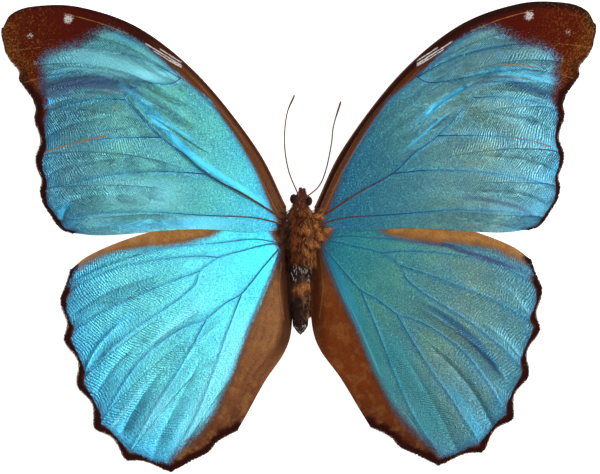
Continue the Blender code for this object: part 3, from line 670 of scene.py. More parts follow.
def wing_fields(wing, side, along, across, plan, vein_distance):
    """What the wing's materials read: distances in millimetres, and marks from 0 to 1."""
    margin = distance_to(plan, margin_points(wing["margin"], np.linspace(0, 1, 161)))
    blue, haze = blue_field(wing, side, across, plan, margin)
    steps = np.linspace(0, 1, 60)
    edges = {edge: distance_to(plan, curve(wing[edge], steps)) for edge in ("costa", "inner")}
    ocelli = [distance_from(plan, centre) / radius for centre, radius in wing["ocelli"]]
    return {
        "blue": blue,
        "haze": haze,
        "margin": margin,
        "vein": vein_distance,
        "pale": pale_marks(wing, plan),
        "left": np.full(along.shape, float(side == "left")),
        "ocellus": np.min(ocelli, axis=0),
        "along": along,
        "across": across,
        **edges,
        **shade_fields(wing, side, plan),
    }


def wing_surface(kind, wing, side):
    """The middle surface of a wing on the fine grid, with its fields."""
    steps = np.linspace(0, 1, CELLS_OUT + 1)
    crowded, even = 1 - (1 - steps) ** CROWDING, np.linspace(0, 1, CELLS_ACROSS + 1)
    along, across = np.meshgrid(crowded, even, indexing="ij")
    plan = wing_plan(wing, along, across)
    vein_distance = np.min([distance_to(plan, vein_line(row[0])) for row in wing["veins"].values()], axis=0)
    seed = NOISE_SEEDS[kind, side]
    height = frame_height(wing, along, across, set_out(plan, kind, side)[..., 0])
    height += relief(wing, side, along, across, plan, vein_distance, seed)
    middle = np.dstack([place_plan(plan, kind, side), (height + ROOT[2]) * MM])
    fields = wing_fields(wing, side, along, across, plan, vein_distance)
    return middle, {**fields, **ripple_fields(wing, along, across, seed)}


def add_wing(kind, wing, side, finishes):
    """A thin closed shell: the fine upper side, the coarser underside, and the rim between them."""
    name = f"{kind}_{side}"
    middle, fields = wing_surface(kind, wing, side)
    normals = grid_normals(middle)
    rows, columns = middle.shape[:2]
    half = normals * HALF_THICKNESS * MM
    upper, lower = middle + half, (middle - half)[::2, ::2]
    top = grid_quads(rows, columns)
    bottom = grid_quads(*lower.shape[:2])[:, ::-1] + rows * columns
    fine = grid_rim(np.arange(rows * columns).reshape(rows, columns))
    coarse = grid_rim(np.arange(lower[..., 0].size).reshape(lower.shape[:2])) + rows * columns
    a, b, c = fine[::2], fine[1::2], np.roll(fine, -2)[::2]
    d, e = coarse, np.roll(coarse, -1)
    rim = np.concatenate([np.stack(t, axis=-1) for t in ((b, a, d), (b, d, e), (c, b, e))])
    if side == "right":
        top, bottom, rim = top[:, ::-1], bottom[:, ::-1], rim[:, ::-1]
    verts = np.concatenate([upper.reshape(-1, 3), lower.reshape(-1, 3)])
    attributes = {key: np.concatenate([f.ravel(), f[::2, ::2].ravel()]) for key, f in fields.items()}
    face_finish = np.concatenate([np.zeros(len(top)), np.ones(len(bottom)), np.zeros(len(rim))])
    obj = add_mesh(f"{name}_scales", verts, [top, bottom, rim], finishes, attributes, face_finish)
    u, v = fields["along"], fields["across"]
    above = np.stack([u * 0.49, v], axis=-1).reshape(-1, 2)
    below = np.stack([1 - u * 0.49, v], axis=-1)[::2, ::2].reshape(-1, 2)
    add_unwrap(obj, np.concatenate([above, below]))
    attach(obj, "root")
    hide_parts(name)
    return BVHTree.FromPolygons([Vector(v) for v in middle.reshape(-1, 3)], top.tolist())


# ---------------------------------------------------------------- veins and fringe


def drop_on(surface, places):
    """Heights and normals of a wing's surface at (x, y) places, in metres."""
    heights, normals = [], []
    down, fallback = Vector((0, 0, -1)), None
    for x, y in places:
        hit, normal, _, _ = surface.ray_cast(Vector((x, y, 0.2)), down)
        if hit is None:
            hit, normal, _, _ = surface.find_nearest(fallback or Vector((x, y, 0.035)))
        fallback = hit
        heights.append(hit.z)
        normals.append(tuple(normal if normal.z > 0 else -normal))
    return np.array(heights), np.array(normals)


def tube(path, radii, sides, flatten=1, up=(0, 0, 1)):
    """Verts and faces of a closed tube along a path; flatten squeezes it along the up direction."""
    path, radii = np.asarray(path), np.asarray(radii)
    tangent = unit(np.gradient(path, axis=0))
    across = unit(np.cross(tangent, up))
    over = flatten * np.cross(across, tangent)
    angles = np.arange(sides) * 2 * np.pi / sides
    ring = np.cos(angles)[None, :, None] * across[:, None] + np.sin(angles)[None, :, None] * over[:, None]
    verts = path[:, None] + ring * radii[:, None, None]
    count = len(path)
    index = np.arange(count * sides).reshape(count, sides)
    after = np.roll(index, -1, axis=1)
    walls = np.stack([index[:-1], after[:-1], after[1:], index[1:]], axis=-1).reshape(-1, 4)
    caps = [index[0][::-1], index[-1]]
    height = np.tile(np.sin(angles), count)
    run = np.repeat(np.linspace(0, 1, count), sides)
    return verts.reshape(-1, 3), walls, caps, height, run


def joined(parts):
    """Joins a list of tubes into verts, faces, heights and runs."""
    verts, quads, caps, heights, runs = zip(*parts)
    firsts = np.cumsum([0] + [len(v) for v in verts])
    walls = np.concatenate([q + first for q, first in zip(quads, firsts)])
    ends = [(cap + first)[None] for pair, first in zip(caps, firsts) for cap in pair]
    return np.concatenate(verts), [walls, *ends], np.concatenate(heights), np.concatenate(runs)


BROWN_ROOTS = {"forewing": (26, 9), "hindwing": (8, 4.5)}  # where the veins turn brown, going inwards
VEIN_SIDES, VEIN_STEP = 8, 0.4


def add_veins(kind, wing, side, surface, finish):
    """The veins stand half out of the membrane, above and below."""
    parts, rubbed, brown = [], [], []
    for points, start, end, rub in wing["veins"].values():
        steps = np.linspace(0, 1, int(chords(points).sum() / VEIN_STEP) + 2)
        plan = curve(points, steps)
        placed = place_plan(plan, kind, side)
        heights, _ = drop_on(surface, placed)
        radii = (start + (0.7 * end - start) * steps**0.6) * VEIN_WIDTH * MM
        radii[-1] *= 0.4
        parts.append(tube(np.column_stack([placed, heights]), radii, VEIN_SIDES, 0.75))
        bare = smooth(steps, rub, rub + 0.12) if rub else 0 * steps
        outside_blue = smooth(signed_distance(plan, wing["blue"]), 0.7, -0.1)
        browned = np.maximum(smooth(plan[:, 0], *BROWN_ROOTS[kind]), outside_blue)
        rubbed.append(np.repeat(bare, VEIN_SIDES))
        brown.append(np.repeat(browned, VEIN_SIDES))
    verts, faces, height, run = joined(parts)
    fields = {"dorsal": height, "run": run, "rubbed": np.concatenate(rubbed), "brown": np.concatenate(brown)}
    obj = add_mesh(f"{kind}_{side}_veins", verts, faces, [finish], fields)
    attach(obj, "root")


TAPER = (1, 0.85, 0.55)  # the widths of a blade's rings, from its root outwards
PATCH = 0.003  # the width of a blade's patch in the UV map OFBake


def blades(roots, lie, normal, length, width, thickness, bend, sides=3):
    """Verts and faces of many slender closed blades. lie is each one's direction, normal its upper side.

    bend droops the tip back along the normal. The last ring is followed by a point. How far along its blade
    each vert is comes next, and then the number of verts in a blade.
    """
    rings = len(TAPER)
    steps = np.linspace(0, 1, rings + 1)
    cross = unit(np.cross(lie, normal))
    up = np.cross(cross, lie)
    angles = np.pi / 2 + np.arange(sides) * 2 * np.pi / sides
    count, per_blade = len(roots), rings * sides + 1
    ahead, droop = length * steps[:, None], bend * length * steps[:, None] ** 2
    centres = roots + lie * ahead[..., None] - up * droop[..., None]
    verts = np.empty((count, per_blade, 3))
    for j, taper in enumerate(TAPER):
        for i, angle in enumerate(angles):
            spread = cross * (math.cos(angle) * width * taper)[:, None]
            lift = up * (math.sin(angle) * thickness * taper)[:, None]
            verts[:, j * sides + i] = centres[j] + spread + lift
    verts[:, -1] = centres[-1]
    ring = np.arange(sides)
    after = (ring + 1) % sides
    walls = np.stack([ring, after, after + sides, ring + sides], axis=-1)
    quads = np.concatenate([walls + j * sides for j in range(rings - 1)])
    last = (rings - 1) * sides
    tip = [(last + i, last + (i + 1) % sides, per_blade - 1) for i in range(sides)]
    base = [(0, i + 1, i) for i in range(1, sides - 1)]
    first = (np.arange(count) * per_blade)[:, None, None]
    faces = [(quads + first).reshape(-1, 4), (np.array(tip + base) + first).reshape(-1, 3)]
    along = np.concatenate([np.repeat(steps[:rings], sides), [1]])
    return verts.reshape(-1, 3), faces, np.tile(along, count), per_blade


def blade_unwrap(root_uv, per_blade, rng):
    """Each blade's verts in a patch of its own about its root's place."""
    count = len(root_uv)
    turn = np.arange(per_blade) * 2 * np.pi / per_blade
    ring = np.stack([np.cos(turn), np.sin(turn)], axis=-1) * PATCH / 2
    spin = rng.uniform(0.9, 1, (count, 1, 1))
    return (root_uv[:, None, :] + ring[None] * spin).reshape(-1, 2)


FRINGE_SEEDS, FRINGE_COUNT = {"forewing": 5, "hindwing": 6}, 1500


def add_fringe(kind, wing, side, surface, finish):
    """Short scales along the outer margin, pale in the notches between the veins."""
    rng = np.random.default_rng(FRINGE_SEEDS[kind])
    count, rows, nudge = FRINGE_COUNT, wing["margin"], 0.002
    across = np.sort(rng.uniform(0, 1, count))
    inset = rng.uniform(0, 0.28, count)
    step = margin_points(rows, across + nudge) - margin_points(rows, across - nudge)
    outwards = unit(np.stack([-step[:, 1], step[:, 0]], axis=-1))
    plan = margin_points(rows, across) - outwards * (0.05 + inset)[:, None]
    placed = place_plan(plan, kind, side)
    heights, normals = drop_on(surface, placed)
    lift = np.where(rng.uniform(size=count) < 0.5, 1, -1) * HALF_THICKNESS * 0.8
    roots = np.column_stack([placed, heights + lift * MM])
    lie = np.column_stack([(place_plan(plan + outwards, kind, side) - placed) / MM, np.zeros(count)])
    lie -= normals * (lie * normals).sum(axis=1, keepdims=True)
    lie = unit(lie + rng.normal(0, 0.06, (count, 3)))
    length = (0.32 + inset * 0.85 + rng.uniform(0, 0.08, count)) * MM
    width = rng.uniform(0.06, 0.1, count) * MM
    bend = rng.uniform(-0.1, 0.1, count)
    verts, faces, tip, per_blade = blades(roots, lie, normals, length, width, width * 0.25, bend, sides=4)
    interspace, place = np.divmod(across * INTERSPACES, 1)
    notch = smooth(np.abs(place - 0.5), 0.42, 0.25)
    depths = np.array([row[1] for row in rows])[interspace.astype(int)]
    pale = notch * smooth(depths, 0.3, 1.2) * rng.uniform(0.5, 1, count)
    tint = rng.uniform(size=count)
    fields = {"tip": tip, "pale": np.repeat(pale, per_blade), "tint": np.repeat(tint, per_blade)}
    obj = add_mesh(f"{kind}_{side}_fringe", verts, faces, [finish], fields, smooth_shaded=False)
    add_unwrap(obj, blade_unwrap(np.stack([np.full(count, 0.49), across], axis=-1), per_blade, rng))
    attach(obj, "root")


# ---------------------------------------------------------------- materials


class Value:
    """A number or colour that a material works out at each place. Sums and products are nodes too."""

    def __init__(self, graph, socket):
        self.graph, self.socket = graph, socket

    def __add__(self, other):
        return self.graph.math("ADD", self, other)

    def __sub__(self, other):
        return self.graph.math("SUBTRACT", self, other)

    def __rsub__(self, other):
        return self.graph.math("SUBTRACT", other, self)

    def __mul__(self, other):
        return self.graph.math("MULTIPLY", self, other)

    def __truediv__(self, other):
        return self.graph.math("DIVIDE", self, other)

    def sine(self):
        return self.graph.math("SINE", self, 0)


class Graph:
    """A material's nodes, joined up in the order they are asked for."""

    def __init__(self, name):
        self.material = bpy.data.materials.new(name)
        self.material.use_nodes = True
        self.tree = self.material.node_tree
        self.shader = self.tree.nodes["Principled BSDF"]
        self.place = Value(self, self.node("TexCoord").outputs["Object"])

    def feed(self, socket, value):
        if isinstance(value, Value):
            self.tree.links.new(value.socket, socket)
        elif socket.type == "RGBA":
            socket.default_value = (*value, 1)
        else:
            socket.default_value = value

    def node(self, kind, *values, **named_values):
        node = self.tree.nodes.new(f"ShaderNode{kind}")
        for socket, value in zip(node.inputs, values):
            self.feed(socket, value)
        for name, value in named_values.items():
            self.feed(node.inputs[name], value)
        return node

    def attribute(self, name):
        node = self.node("Attribute")
        node.attribute_name = name
        return Value(self, node.outputs["Fac"])

    def math(self, operation, a, b):
        node = self.node("Math", a, b)
        node.operation = operation
        return Value(self, node.outputs[0])

    def step(self, value, low, high, start=0, end=1):
        """From start below low to end above high, smoothly."""
        node = self.node("MapRange", value, low, high, start, end)
        node.interpolation_type = "SMOOTHSTEP"
        return Value(self, node.outputs[0])

    def mix(self, factor, a, b):
        node = self.node("Mix", factor)
        node.data_type = "RGBA"
        self.feed(node.inputs[6], a)
        self.feed(node.inputs[7], b)
        return Value(self, node.outputs[2])

    def paint(self, colour, *coats):
        """A colour with coats over it. Each coat is how much of it there is, and its own colour."""
        for amount, coat in coats:
            colour = self.mix(amount, colour, coat)
        return colour

    def ramp(self, factor, *stops):
        node = self.node("ValToRGB", factor)
        fill_band(node.color_ramp, stops)
        return Value(self, node.outputs["Color"])

    def noise(self, scale, detail=3, roughness=0.55, place=None):
        place = place or self.place
        node = self.node("TexNoise", Vector=place, Scale=scale, Detail=detail, Roughness=roughness)
        return Value(self, node.outputs["Fac"])

    def stretched(self, scale):
        """The place, scaled along each axis, for noise that is drawn out."""
        return Value(self, self.node("Mapping", Vector=self.place, Scale=scale).outputs["Vector"])

    def cells(self, scale):
        """A random value for each small cell, as scales have."""
        colours = self.node("TexVoronoi", Vector=self.place, Scale=scale).outputs["Color"]
        return Value(self, self.node("SeparateColor", Value(self, colours)).outputs[0])

    def bump(self, height, strength, distance):
        node = self.node("Bump", Strength=strength, Distance=distance, Height=height)
        self.tree.links.new(node.outputs["Normal"], self.shader.inputs["Normal"])

    def finish(self, colour, roughness, metallic=0, specular=0.5):
        names = ("Base Color", "Roughness", "Metallic", "Specular IOR Level")
        for name, value in zip(names, (colour, roughness, metallic, specular)):
            self.feed(self.shader.inputs[name], value)
        return self.material


def fill_band(band, stops):
    """Gives a colour ramp its stops: places and colours."""
    while len(band.elements) < len(stops):
        band.elements.new(0.5)
    for element, (position, colour) in zip(band.elements, stops):
        element.position = position
        element.color = (*colour, 1)


SCALE_CELLS = 5200  # about five wing scales to a millimetre
# Ripples: how deep the regular ones and the crumples are; and how strongly the troughs are painted with
# shade and the crests with highlight.
RIPPLE_DEPTHS = {"forewing": (1.05, 4.6), "hindwing": (0.42, 1.9)}
RIPPLE_PAINTED_LIGHT = {"forewing": (0.6, 0.5), "hindwing": (0.32, 0.22)}
VEIN_BLUES = {
    "forewing": ((0.012, 0.045, 0.12), (0.02, 0.1, 0.22)),
    "hindwing": ((0.015, 0.13, 0.3), (0.03, 0.26, 0.45)),
}
# From the root outwards: a place, and the left wing's and the right wing's colours there. The differences
# between the two wings' colours are painted light and shade.
UPPER_BLUES = {
    "forewing": [
        (0, (0.03, 0.36, 0.58), (0.05, 0.25, 0.46)),
        (0.2, (0.055, 0.4, 0.47), (0.045, 0.28, 0.44)),
        (0.4, (0.085, 0.38, 0.32), (0.1, 0.34, 0.38)),
        (0.7, (0.15, 0.46, 0.42), (0.21, 0.37, 0.31)),
        (1, (0.1, 0.28, 0.43), (0.14, 0.42, 0.56)),
    ],
    "hindwing": [
        (0, (0.04, 0.53, 0.7), (0.035, 0.3, 0.52)),
        (0.2, (0.06, 0.64, 0.76), (0.055, 0.44, 0.46)),
        (0.4, (0.11, 0.68, 0.74), (0.13, 0.46, 0.37)),
        (0.7, (0.14, 0.64, 0.68), (0.2, 0.37, 0.32)),
        (1, (0.08, 0.54, 0.8), (0.12, 0.33, 0.38)),
    ],
}
# From the root outwards: a place, and the left wing's and the right wing's colours there. The differences
# between the two wings' colours are painted light and shade.
UPPER_BROWNS = {
    "forewing": [
        (0, (0.22, 0.075, 0.027), (0.2, 0.06, 0.02)),
        (0.45, (0.16, 0.05, 0.018), (0.13, 0.03, 0.009)),
        (0.6, (0.06, 0.012, 0.007), (0.06, 0.01, 0.006)),
        (0.8, (0.11, 0.009, 0.004), (0.115, 0.009, 0.0035)),
        (1, (0.12, 0.014, 0.004), (0.13, 0.014, 0.004)),
    ],
    "hindwing": [
        (0, (0.24, 0.085, 0.03), (0.26, 0.085, 0.03)),
        (0.3, (0.38, 0.165, 0.066), (0.24, 0.052, 0.01)),
        (0.7, (0.28, 0.1, 0.04), (0.22, 0.045, 0.009)),
        (1, (0.13, 0.04, 0.017), (0.11, 0.027, 0.01)),
    ],
}
# The strokes' colours: violet, navy and deep are painted shade, bright and azure painted highlight, and teal
# a tone of the scales.
PAINTED_LIGHT_AND_TONE_COLOURS = {
    "violet": (0.065, 0.1, 0.2),
    "navy": (0.02, 0.055, 0.15),
    "deep": (0.035, 0.14, 0.24),
    "teal": (0.03, 0.4, 0.5),
    "bright": (0.24, 0.72, 0.84),
    "azure": (0.07, 0.55, 0.88),
}
FRONT_EDGE = (0.035, 0.009, 0.006)
BORDER = (0.035, 0.0065, 0.0045)
# The underside's bands, by place from the root outwards, and an ocellus's rings, from its middle.
LOWER_BANDS = (
    (0, (0.11, 0.062, 0.034)), (0.16, (0.07, 0.036, 0.022)), (0.24, (0.3, 0.24, 0.17)),
    (0.29, (0.075, 0.04, 0.025)), (0.46, (0.085, 0.047, 0.028)), (0.55, (0.34, 0.28, 0.2)),
    (0.6, (0.1, 0.056, 0.032)), (0.8, (0.075, 0.04, 0.025)), (1, (0.05, 0.027, 0.018)),
)
OCELLUS_RINGS = (
    (0, (0.75, 0.74, 0.7)), (0.07, (0.75, 0.74, 0.7)), (0.1, (0.05, 0.1, 0.16)),
    (0.18, (0.008, 0.006, 0.006)), (0.36, (0.01, 0.007, 0.006)), (0.4, (0.5, 0.32, 0.09)),
    (0.47, (0.48, 0.3, 0.08)), (0.5, (0.02, 0.012, 0.009)),
)


def sided(g, rows, place):
    """The colour at a place in a table, for the left wing or the right: the two differ by painted light and
    shade.
    """
    left, right = (g.ramp(place, *((row[0], row[i]) for row in rows)) for i in (1, 2))
    return g.mix(g.attribute("left"), right, left)


def blue_scales(g, kind, grain, wave, dust):
    """The blue field: teal between the veins, bluer beside them and towards the margin, with strokes of
    painted shade and highlight, and ripples painted dark in the troughs and bright on the crests.
    """
    along, vein, left = (g.attribute(key) for key in ("along", "vein", "left"))
    trough, crest = RIPPLE_PAINTED_LIGHT[kind]
    beside_vein = g.step(vein, 1.1, 0.25) * g.step(along, 0.15, 0.4, 0, 0.35)
    # Bluer towards the margin, more on the left wing than the right: the difference between the wings is
    # painted light and shade.
    towards_margin = g.step(g.attribute("margin"), 5.5, 2.2) * g.step(left, 0, 1, 0.25, 0.5)
    # Dark olive dapple: painted shadow in wrinkles, and scratches on a left hindwing.
    shadow_and_scratch_dapple = g.attribute("olive") * g.step(g.noise(2300, 2, 0.7) + grain * 0.25, 0.5, 0.72)
    rubbed = g.step(g.attribute("tan") + (g.noise(1500, 2, 0.7) - 0.5) * 1.8, 0.45, 0.9)
    azure = g.paint(
        sided(g, UPPER_BLUES[kind], along),
        (g.step(g.noise(160), 0.35, 0.68, 0, 0.3), (0.035, 0.24, 0.46)),
        (beside_vein, (0.05, 0.36, 0.62)),
        (towards_margin, (0.06, 0.36, 0.62)),
        (g.step(vein, 0.3, 0, 0, 0.45), (0.02, 0.08, 0.24)),
        (g.step(dust, 0.5, 0.72, 0, 0.55), (0.015, 0.11, 0.2)),
        (g.step(dust, 0.5, 0.3, 0, 0.5), (0.22, 0.74, 0.84)),
        # The strokes: painted shade (violet, navy, deep), painted highlight (bright, azure) and a tone
        # (teal).
        *((g.attribute(shade), colour) for shade, colour in PAINTED_LIGHT_AND_TONE_COLOURS.items()),
        # Painted shade in the ripples' troughs and painted highlight on their crests.
        (g.step(wave, -0.12, -0.9, 0, trough), (0.02, 0.13, 0.2)),
        (g.step(wave, 0.15, 0.9, 0, crest), (0.22, 0.74, 0.8)),
        (shadow_and_scratch_dapple, (0.035, 0.08, 0.045)),
        (g.step(g.attribute("blue"), 1.5, 0.1, 0, 0.5), (0.045, 0.09, 0.22)),
        (rubbed, (0.37, 0.235, 0.12)),
    )
    return azure, rubbed


def forewing_browns(g, brown, coarse, smudge):
    """The costal band, striped at the root, its dark front edge, darker and wider on the right wing as
    painted shade, and the golden dust of the apex.
    """
    margin, costa, along = g.attribute("margin"), g.attribute("costa"), g.attribute("along")
    left, across = g.attribute("left"), g.attribute("across")
    stripes = g.step((costa * 5.6).sine(), 0.4, 0.95) * g.step(along, 0.55, 0.35)
    apex = g.step(across, 0.46, 0.3) * g.step(along, 0.78, 0.9)
    near_margin = g.step(margin + (smudge - 0.5) * 7, 5, 1)
    return g.paint(
        brown,
        (stripes * g.step(costa, 0.8, 1.1, 0, 0.65), (0.36, 0.16, 0.06)),
        # The dark front edge is darker and wider on the right wing: painted shade.
        (g.step(costa, 1, 0.45) * g.step(left, 0, 1, 1, 0.7), FRONT_EDGE),
        ((1 - left) * g.step(costa, 1.9, 1.2), FRONT_EDGE),
        (g.step(coarse, 0.42, 0.62) * (apex * near_margin) * 0.9, (0.27, 0.115, 0.018)),
        (g.step(coarse, 0.53, 0.64, 0, 0.6) * apex, (0.32, 0.12, 0.025)),
    )


def hindwing_browns(g, brown, coarse, smudge):
    """The inner field, gilded most on the left as partly painted light, with dark streaks of painted shade
    in its folds and a painted shadow of the abdomen beside it, and the strip under the forewing.
    """
    inner, along, left = g.attribute("inner"), g.attribute("along"), g.attribute("left")
    # Dark streaks along the inner margin: painted shade in the membrane's folds.
    streaks = (inner * 3.6 + smudge * 9).sine()
    # Painted shadow of the abdomen beside it, strongest on the left wing.
    abdomen_shadow = g.step(inner, 3.6, 1.6) * g.step(along, 0.66, 0.45)
    strip = g.mix(g.step(smudge, 0.35, 0.7), (0.48, 0.21, 0.06), (0.62, 0.31, 0.1))
    return g.paint(
        brown,
        # Gilding, stronger on the left wing: partly painted light.
        (g.step(smudge, 0.45, 0.7) * g.step(left, 0, 1, 0.3, 0.6), (0.46, 0.21, 0.06)),
        (g.step(streaks, 0.2, 1, 0, 0.3) * g.step(g.noise(150), 0.4, 0.6), (0.1, 0.03, 0.014)),
        (abdomen_shadow * g.step(left, 0, 1, 0.25, 0.85), (0.05, 0.011, 0.007)),
        (g.step(coarse, 0.5, 0.75, 0, 0.3), (0.1, 0.03, 0.01)),
        (g.step(g.attribute("across"), 0.25, 0.1), strip),
        (g.step(g.attribute("blue"), -1.6, -0.2, 0, 0.45), (0.09, 0.05, 0.045)),
    )


def brown_scales(g, kind, scatter, grain):
    """The brown outside the blue field, with the dark margin and the gold and white marks."""
    coarse, smudge = g.noise(2100, 3, 0.7), g.noise(420, 3, 0.6)
    brown = sided(g, UPPER_BROWNS[kind], g.attribute("along"))
    ragged_margin = g.step(g.attribute("margin") + (smudge - 0.5) * 2.4, 2.3, 1)
    if kind == "forewing":
        brown = forewing_browns(g, brown, coarse, smudge)
        ragged_margin = ragged_margin * g.step(g.attribute("across"), 0.12, 0.34)
    else:
        brown = hindwing_browns(g, brown, coarse, smudge)
    return g.paint(
        brown,
        (ragged_margin, BORDER),
        (g.step(grain, 0.4, 1) * 0.3, (0.02, 0.006, 0.004)),
        (g.step(g.attribute("gold") + scatter * 0.3, 0.35, 0.8), (0.36, 0.16, 0.045)),
        (g.step(g.attribute("pale") + scatter * 0.5, 0.35, 0.85), (0.78, 0.72, 0.68)),
    )


def upper_wing_finish(kind):
    """Blue iridescent scales inside brown borders, mixed scale by scale where the border is hazy."""
    g = Graph(f"upper_{kind}")
    grain, patch, dust = g.cells(SCALE_CELLS), g.noise(1100, 3, 0.65), g.noise(2700, 2, 0.75)
    scatter = (grain - 0.5) * 1.2 + (dust - 0.5) * 1.5 + (patch - 0.5) * 0.6
    inside = g.step(g.attribute("blue") / g.attribute("haze") + scatter, -0.6, 0.8)
    regular, crumpled = RIPPLE_DEPTHS[kind]
    ripple = ((g.attribute("ripple") + patch * 0.3) * (2 * math.pi)).sine() * regular
    wave = (ripple + (patch - 0.5) * crumpled) * g.attribute("rippled")
    azure, rubbed = blue_scales(g, kind, grain, wave, dust)
    colour = g.mix(inside, brown_scales(g, kind, scatter, grain), azure)
    g.bump(grain * 0.35 + dust * 1.1 + wave, 0.6, 0.0001)
    return g.finish(colour, g.step(inside, 0, 1, 0.6, 0.42), inside * (1 - rubbed) * 0.95, 0.02)


def lower_wing_finish(kind):
    """Brown with paler bands, pale lines along the margin, and ringed eyespots."""
    g = Graph(f"lower_{kind}")
    margin, ocellus, grain = g.attribute("margin"), g.attribute("ocellus"), g.cells(SCALE_CELLS)
    wander = (g.noise(260, 3, 0.6) - 0.5) * 0.22
    first_line = g.step(margin, 1.1, 1.35) * g.step(margin, 1.95, 1.7)
    second_line = g.step(margin, 3.1, 3.3) * g.step(margin, 4.2, 3.8)
    colour = g.paint(
        g.ramp(g.attribute("along") + wander, *LOWER_BANDS),
        (first_line * 0.8, (0.42, 0.3, 0.18)),
        (second_line * 0.6, (0.3, 0.24, 0.18)),
        (g.step(ocellus, 1.12, 1.06), g.ramp(ocellus * 0.5, *OCELLUS_RINGS)),
        (g.step(grain, 0.3, 1) * 0.35, (0.03, 0.016, 0.01)),
    )
    g.bump(grain * 0.6 + g.noise(2300), 0.35, 0.00009)
    return g.finish(colour, 0.62, 0, 0.35)


def vein_finish(kind):
    """Veins are blue in the blue field, brown at the root and under the wing, and tan where rubbed."""
    g = Graph(f"veins_{kind}")
    run, rooted, patch = g.attribute("run"), g.attribute("brown"), g.noise(1300, 3, 0.7)
    patched = g.step(patch, 0.35, 0.7)
    navy = g.paint(g.mix(patched, *VEIN_BLUES[kind]), (g.step(run, 0.25, 0.85, 0, 0.75), (0.05, 0.32, 0.5)))
    brown = g.mix(patched, (0.09, 0.026, 0.012), (0.2, 0.075, 0.028))
    if kind == "hindwing":
        brown = g.mix(g.step(run, 0.2, 0.5, 0, 0.6), brown, (0.42, 0.21, 0.1))
    bare = g.attribute("rubbed") * g.step(patch, 0.42, 0.56)
    colour = g.paint(
        g.mix(rooted, navy, brown),
        (bare, (0.46, 0.26, 0.13)),
        (g.step(g.attribute("dorsal"), -0.1, -0.4), (0.16, 0.1, 0.055)),
    )
    g.bump(g.noise(2500), 0.3, 0.00006)
    metallic = g.step(rooted, 0.6, 0.2) * g.step(run, 0.25, 0.8, 0.3, 0.9) * (1 - bare)
    return g.finish(colour, 0.45, metallic, 0.2)


def fringe_finish():
    g = Graph("margin_fringe")
    colour = g.paint(
        g.ramp(g.attribute("tint"), (0, (0.02, 0.008, 0.006)), (1, (0.09, 0.035, 0.018))),
        (g.attribute("pale"), (0.75, 0.62, 0.48)),
        (g.noise(3000) * 0.25, (0.05, 0.025, 0.015)),
    )
    return g.finish(colour, 0.6, 0, 0.3)


def add_wings():
    """The four wings, and each one's surface by side and kind."""
    wings = {"forewing": FOREWING, "hindwing": HINDWING}
    fringe = fringe_finish()
    finishes = (lower_wing_finish, upper_wing_finish, vein_finish)
    lower, upper, veins = ({kind: finish(kind) for kind in wings} for finish in finishes)
    surfaces = {side: {} for side in SIGN}
    for side in SIGN:
        for kind, wing in wings.items():
            surface = add_wing(kind, wing, side, [upper[kind], lower[kind]])
            add_veins(kind, wing, side, surface, veins[kind])
            add_fringe(kind, wing, side, surface, fringe)
            surfaces[side][kind] = surface
    return surfaces


# ---------------------------------------------------------------- the body

# The body's sections: (fore, half width, half height, centre's height), as the frame has them.
SECTIONS = np.array([
    (-24.1, 0.3, 0.35, -3.9), (-23.3, 1.15, 1.1, -3.75), (-21.6, 1.9, 1.75, -3.4),
    (-18, 2.25, 2.1, -2.85), (-14.4, 2.4, 2.3, -2.4), (-11, 2.55, 2.55, -2.15),
    (-8.6, 2.8, 2.7, -2), (-7.2, 2.6, 2.5, -1.95), (-5.6, 2.9, 3.1, -1.85),
    (-3.5, 3.1, 3.6, -1.8), (-0.5, 3.2, 3.9, -1.7), (2, 3.1, 3.6, -1.6),
    (4.2, 2.75, 2.9, -1.5), (5.4, 2.35, 2.2, -1.35), (6.3, 1.85, 1.6, -1.25),
    (6.9, 1.7, 1.6, -1.15), (7.5, 1.9, 1.95, -1.1), (8.25, 1.75, 1.8, -1.15),
    (8.75, 1.2, 1.3, -1.2), (9.05, 0.45, 0.6, -1.25),
])
REAR, FRONT = SECTIONS[0, 0], SECTIONS[-1, 0]
HEAD_TURN = math.radians(-8)
NECK = 6.45
ABDOMEN_FRONT, SEGMENTS = -7.4, 8
SKIN_RINGS, SKIN_SIDES = 230, 80
# How deep the coat stands on the skin, behind and in front; and the skin's own relief.
COAT_DEPTHS, THIN_PART = (0.16, 0.32), 0.45
SEGMENT_STEP, GROOVE_DEPTH, GROOVE_WIDTH, LUMP_HEIGHT = 0.11, 0.16, 0.1, 0.05
BLADE_FLATNESS = 0.35


def section_at(fore):
    """The body's half width, half height and centre's height there, smoothly between the sections."""
    fores, values = SECTIONS[:, 0], SECTIONS[:, 1:]
    padded = np.pad(np.arange(len(fores)), 1, mode="edge")
    before, after = padded[:-2], padded[2:]
    slopes = (values[after] - values[before]) / (fores[after] - fores[before])[:, None]
    k = np.clip(np.searchsorted(fores, fore, side="right") - 1, 0, len(fores) - 2)
    span = (fores[k + 1] - fores[k])[..., None]
    t = ((fore - fores[k]) / (fores[k + 1] - fores[k]))[..., None]
    a, b, m, n = values[k], values[k + 1], slopes[k] * span, slopes[k + 1] * span
    return a + m * t + (3 * (b - a) - 2 * m - n) * t**2 + (2 * (a - b) + m + n) * t**3


def turn_head(points):
    """Turns what lies in front of the neck a little to the animal's right."""
    angle = HEAD_TURN * smooth(points[..., 1], 5.9, 6.7)
    x, y, z = np.moveaxis(points, -1, 0)
    y = y - NECK
    cos, sin = np.cos(angle), np.sin(angle)
    return np.stack([x * cos - y * sin, NECK + x * sin + y * cos, z], axis=-1)


